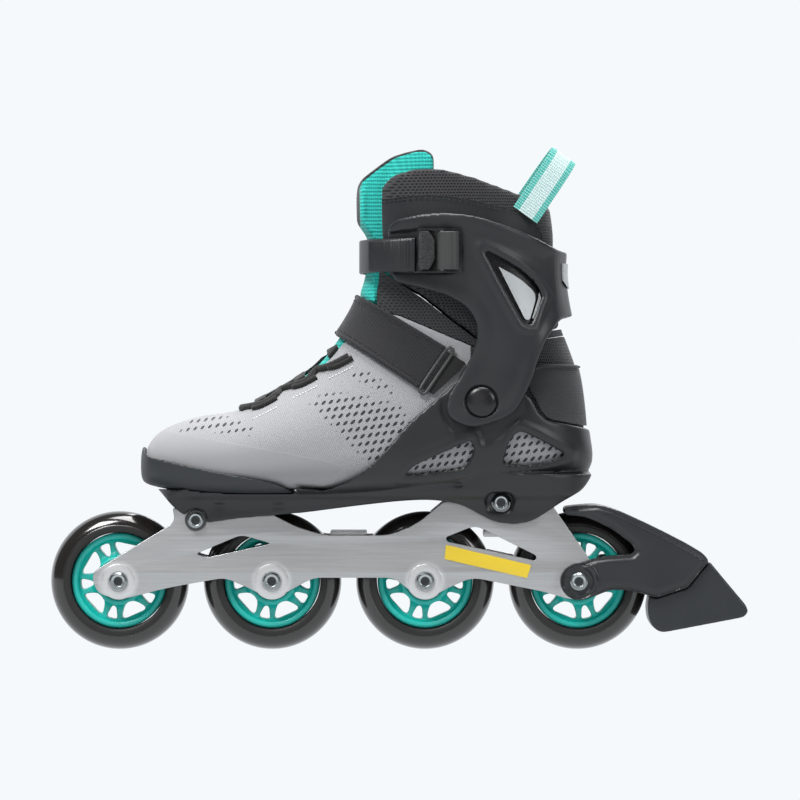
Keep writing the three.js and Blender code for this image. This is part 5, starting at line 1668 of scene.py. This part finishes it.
padCorners = [[147.6, 30], [143.9, 31.3, 1], [142.8, 24.8, 4], [143.6, 17.5, 3], [146.5, 12.7, 2],
              [150.2, 10.5, 2], [153.2, 10.5, 1], [198.6, 18.9, 2], [201.2, 22, 1.5], [200, 25.8, 3],
              [192.1, 35.1, 5], [178.7, 51.2], [165.9, 35.8]]
brakeShift = lastAxle - brake["drawnAxle"]


def drawnIn(piece, sign, start, end, middle, half, turn, height):
    # cuts one side off at a small angle, so that the piece narrows to the rear
    near, far = sorted((15 * sign, 90 * sign))
    taper = block("taper", (start, end), (near, far), (0, height))
    taper.data.transform(Matrix.Translation(Vector((middle, sign * half, 0)) * mm)
                         @ Matrix.Rotation(math.radians(-turn * sign), 4, "Z")
                         @ Matrix.Translation(Vector((-middle, -sign * 15, 0)) * mm))
    return cut(piece, taper)


def brakeShape():
    corners = [[x + brakeShift, *rest] for x, *rest in brakeCorners]
    arm = prism("brakeArm", corners, -brakeOutside, brakeOutside)
    modify(arm, "BEVEL", width=brake["edge"] * mm, segments=1,
           limit_method="ANGLE", angle_limit=math.radians(60))
    for low, high in ((-brakeOutside - 1.6, -brake["inside"]), (brake["inside"], brakeOutside + 1.6)):
        cut(arm, cylinder("eye", brake["eye"], low, high, lastAxle, axleHeight, 96), "UNION")
    cut(arm, cylinder("well", deck / 2 + 2.3, -14.2, 14.2, lastAxle, axleHeight, 96))
    cut(arm, block("channel", (lastAxle - 20, lastAxle + 13), (-brake["inside"], brake["inside"]),
                   (0, deck - 3)))
    for sign in (-1, 1):
        drawnIn(arm, sign, lastAxle + 12, lastAxle + 90, lastAxle + 12, 20.9, 4.0, deck + 20)
        near, far = sorted((brakeOutside * sign, 90 * sign))
        cut(arm, cylinder("recess", brake["recess"], near, far, lastAxle, axleHeight, 96))
    cut(arm, cylinder("bore", 4.3, -90, 90, lastAxle, axleHeight))
    return arm


arm = soften(brakeShape(), brake["voxel"], 3)
raisedRim(arm, [[[x + brakeShift, z] for x, z, *_ in brakeCorners]], -1.3, 2.2, 3.2, 0)
arm = smooth(arm, 60)
finishPiece(arm, root, "brake", brakePlastic, "brake_arm")
pad = prism("brakePad", [[x + brakeShift, *rest] for x, *rest in padCorners], -13.8, 13.8)
for sign in (-1, 1):
    drawnIn(pad, sign, lastAxle + 30, lastAxle + 110, lastAxle + 60, 14.0, 5.0, deck)
pad = soften(pad, brake["voxel"], 3)
finishPiece(pad, root, "pad", padRubber, "brake_pad")
dress(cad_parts["brake_screw"], brightSteel)
print("brake made")

for shape in list(skins.values()):
    remove(shape)


# stage, camera and light
stage = {"back": 2.2, "side": 4.0, "front": -1.1, "bend": 0.8, "high": 3.0, "round": 12.0}


def backdrop():
    # a sheet of pale paper: floor, a round bend and a wall
    back, bend = stage["back"], stage["bend"]
    line = [(stage["front"], 0)]
    for k in range(17):
        turn = math.pi / 2 * k / 16
        line.append((back - bend + bend * math.sin(turn), bend * (1 - math.cos(turn))))
    line.append((back, stage["high"]))
    verts = [(x, y, z) for y, z in line for x in (-stage["side"], stage["side"])]
    faces = [(2 * i, 2 * i + 1, 2 * i + 3, 2 * i + 2) for i in range(len(line) - 1)]
    data = bpy.data.meshes.new("paper")
    data.from_pydata(verts, [], faces)
    sheet = bpy.data.objects.new("paper", data)
    bpy.context.scene.collection.objects.link(sheet)
    moved(sheet, z=-0.15)  # just under the wheels
    return smooth(sheet, 60)


paper = backdrop()
paperLook = Look("paperLook", Roughness=1.0, Specular_IOR_Level=0.0, Base_Color=(0.0, 0.0, 0.0, 1),
                 Emission_Color=(0.913, 0.947, 0.973, 1), Emission_Strength=1.0)
paper.data.materials.append(paperLook.material)
paper.visible_camera = False

# the paper's colour all round, for the camera only, so that the sheet hides nothing from behind
bpy.ops.mesh.primitive_uv_sphere_add(segments=32, ring_count=16, radius=stage["round"])
surround = bpy.context.object
surround.name = "surround"
surround.data.materials.append(paperLook.material)
for ray in ("diffuse", "glossy", "transmission", "shadow"):
    setattr(surround, f"visible_{ray}", False)

world = bpy.data.worlds.new("studio")
bpy.context.scene.world = world
world.use_nodes = True
world.node_tree.nodes["Background"].inputs["Color"].default_value = (0.93, 0.96, 1.0, 1)
world.node_tree.nodes["Background"].inputs["Strength"].default_value = 0.14


def softLight(name, place, aim, size, power):
    data = bpy.data.lights.new(name, "AREA")
    data.shape = "SQUARE"
    data.size = size
    data.energy = power
    lamp = bpy.data.objects.new(name, data)
    bpy.context.scene.collection.objects.link(lamp)
    lamp.location = place
    lamp.rotation_euler = (Vector(aim) - Vector(place)).to_track_quat("-Z", "Y").to_euler()


softLight("key", (-0.9, -1.2, 1.9), (0, 0, 0.15), 0.9, 52)
softLight("fill", (1.6, -1.3, 0.9), (0, 0, 0.12), 0.8, 9)
softLight("top", (0.1, -0.1, 1.6), (0, 0, 0.1), 0.9, 26)
softLight("front", (-0.3, -3.0, 0.45), (0, 0, 0.1), 2.0, 7)
softLight("rear", (0.6, 1.4, 1.5), (0, 0, 0.15), 1.2, 20)

camera = {"far": 2.5, "height": 0.1444, "width": 0.464, "sensor": 36}
lens = bpy.data.cameras.new("camera")
lens.sensor_width = camera["sensor"]
lens.lens = camera["sensor"] * camera["far"] / camera["width"]
lens.clip_end = 100
eye = bpy.data.objects.new("camera", lens)
bpy.context.scene.collection.objects.link(eye)
eye.location = (0, -camera["far"], camera["height"])
eye.rotation_euler = (math.pi / 2, 0, 0)
bpy.context.scene.camera = eye

bpy.context.scene.view_settings.view_transform = "Standard"

print("scene ready")
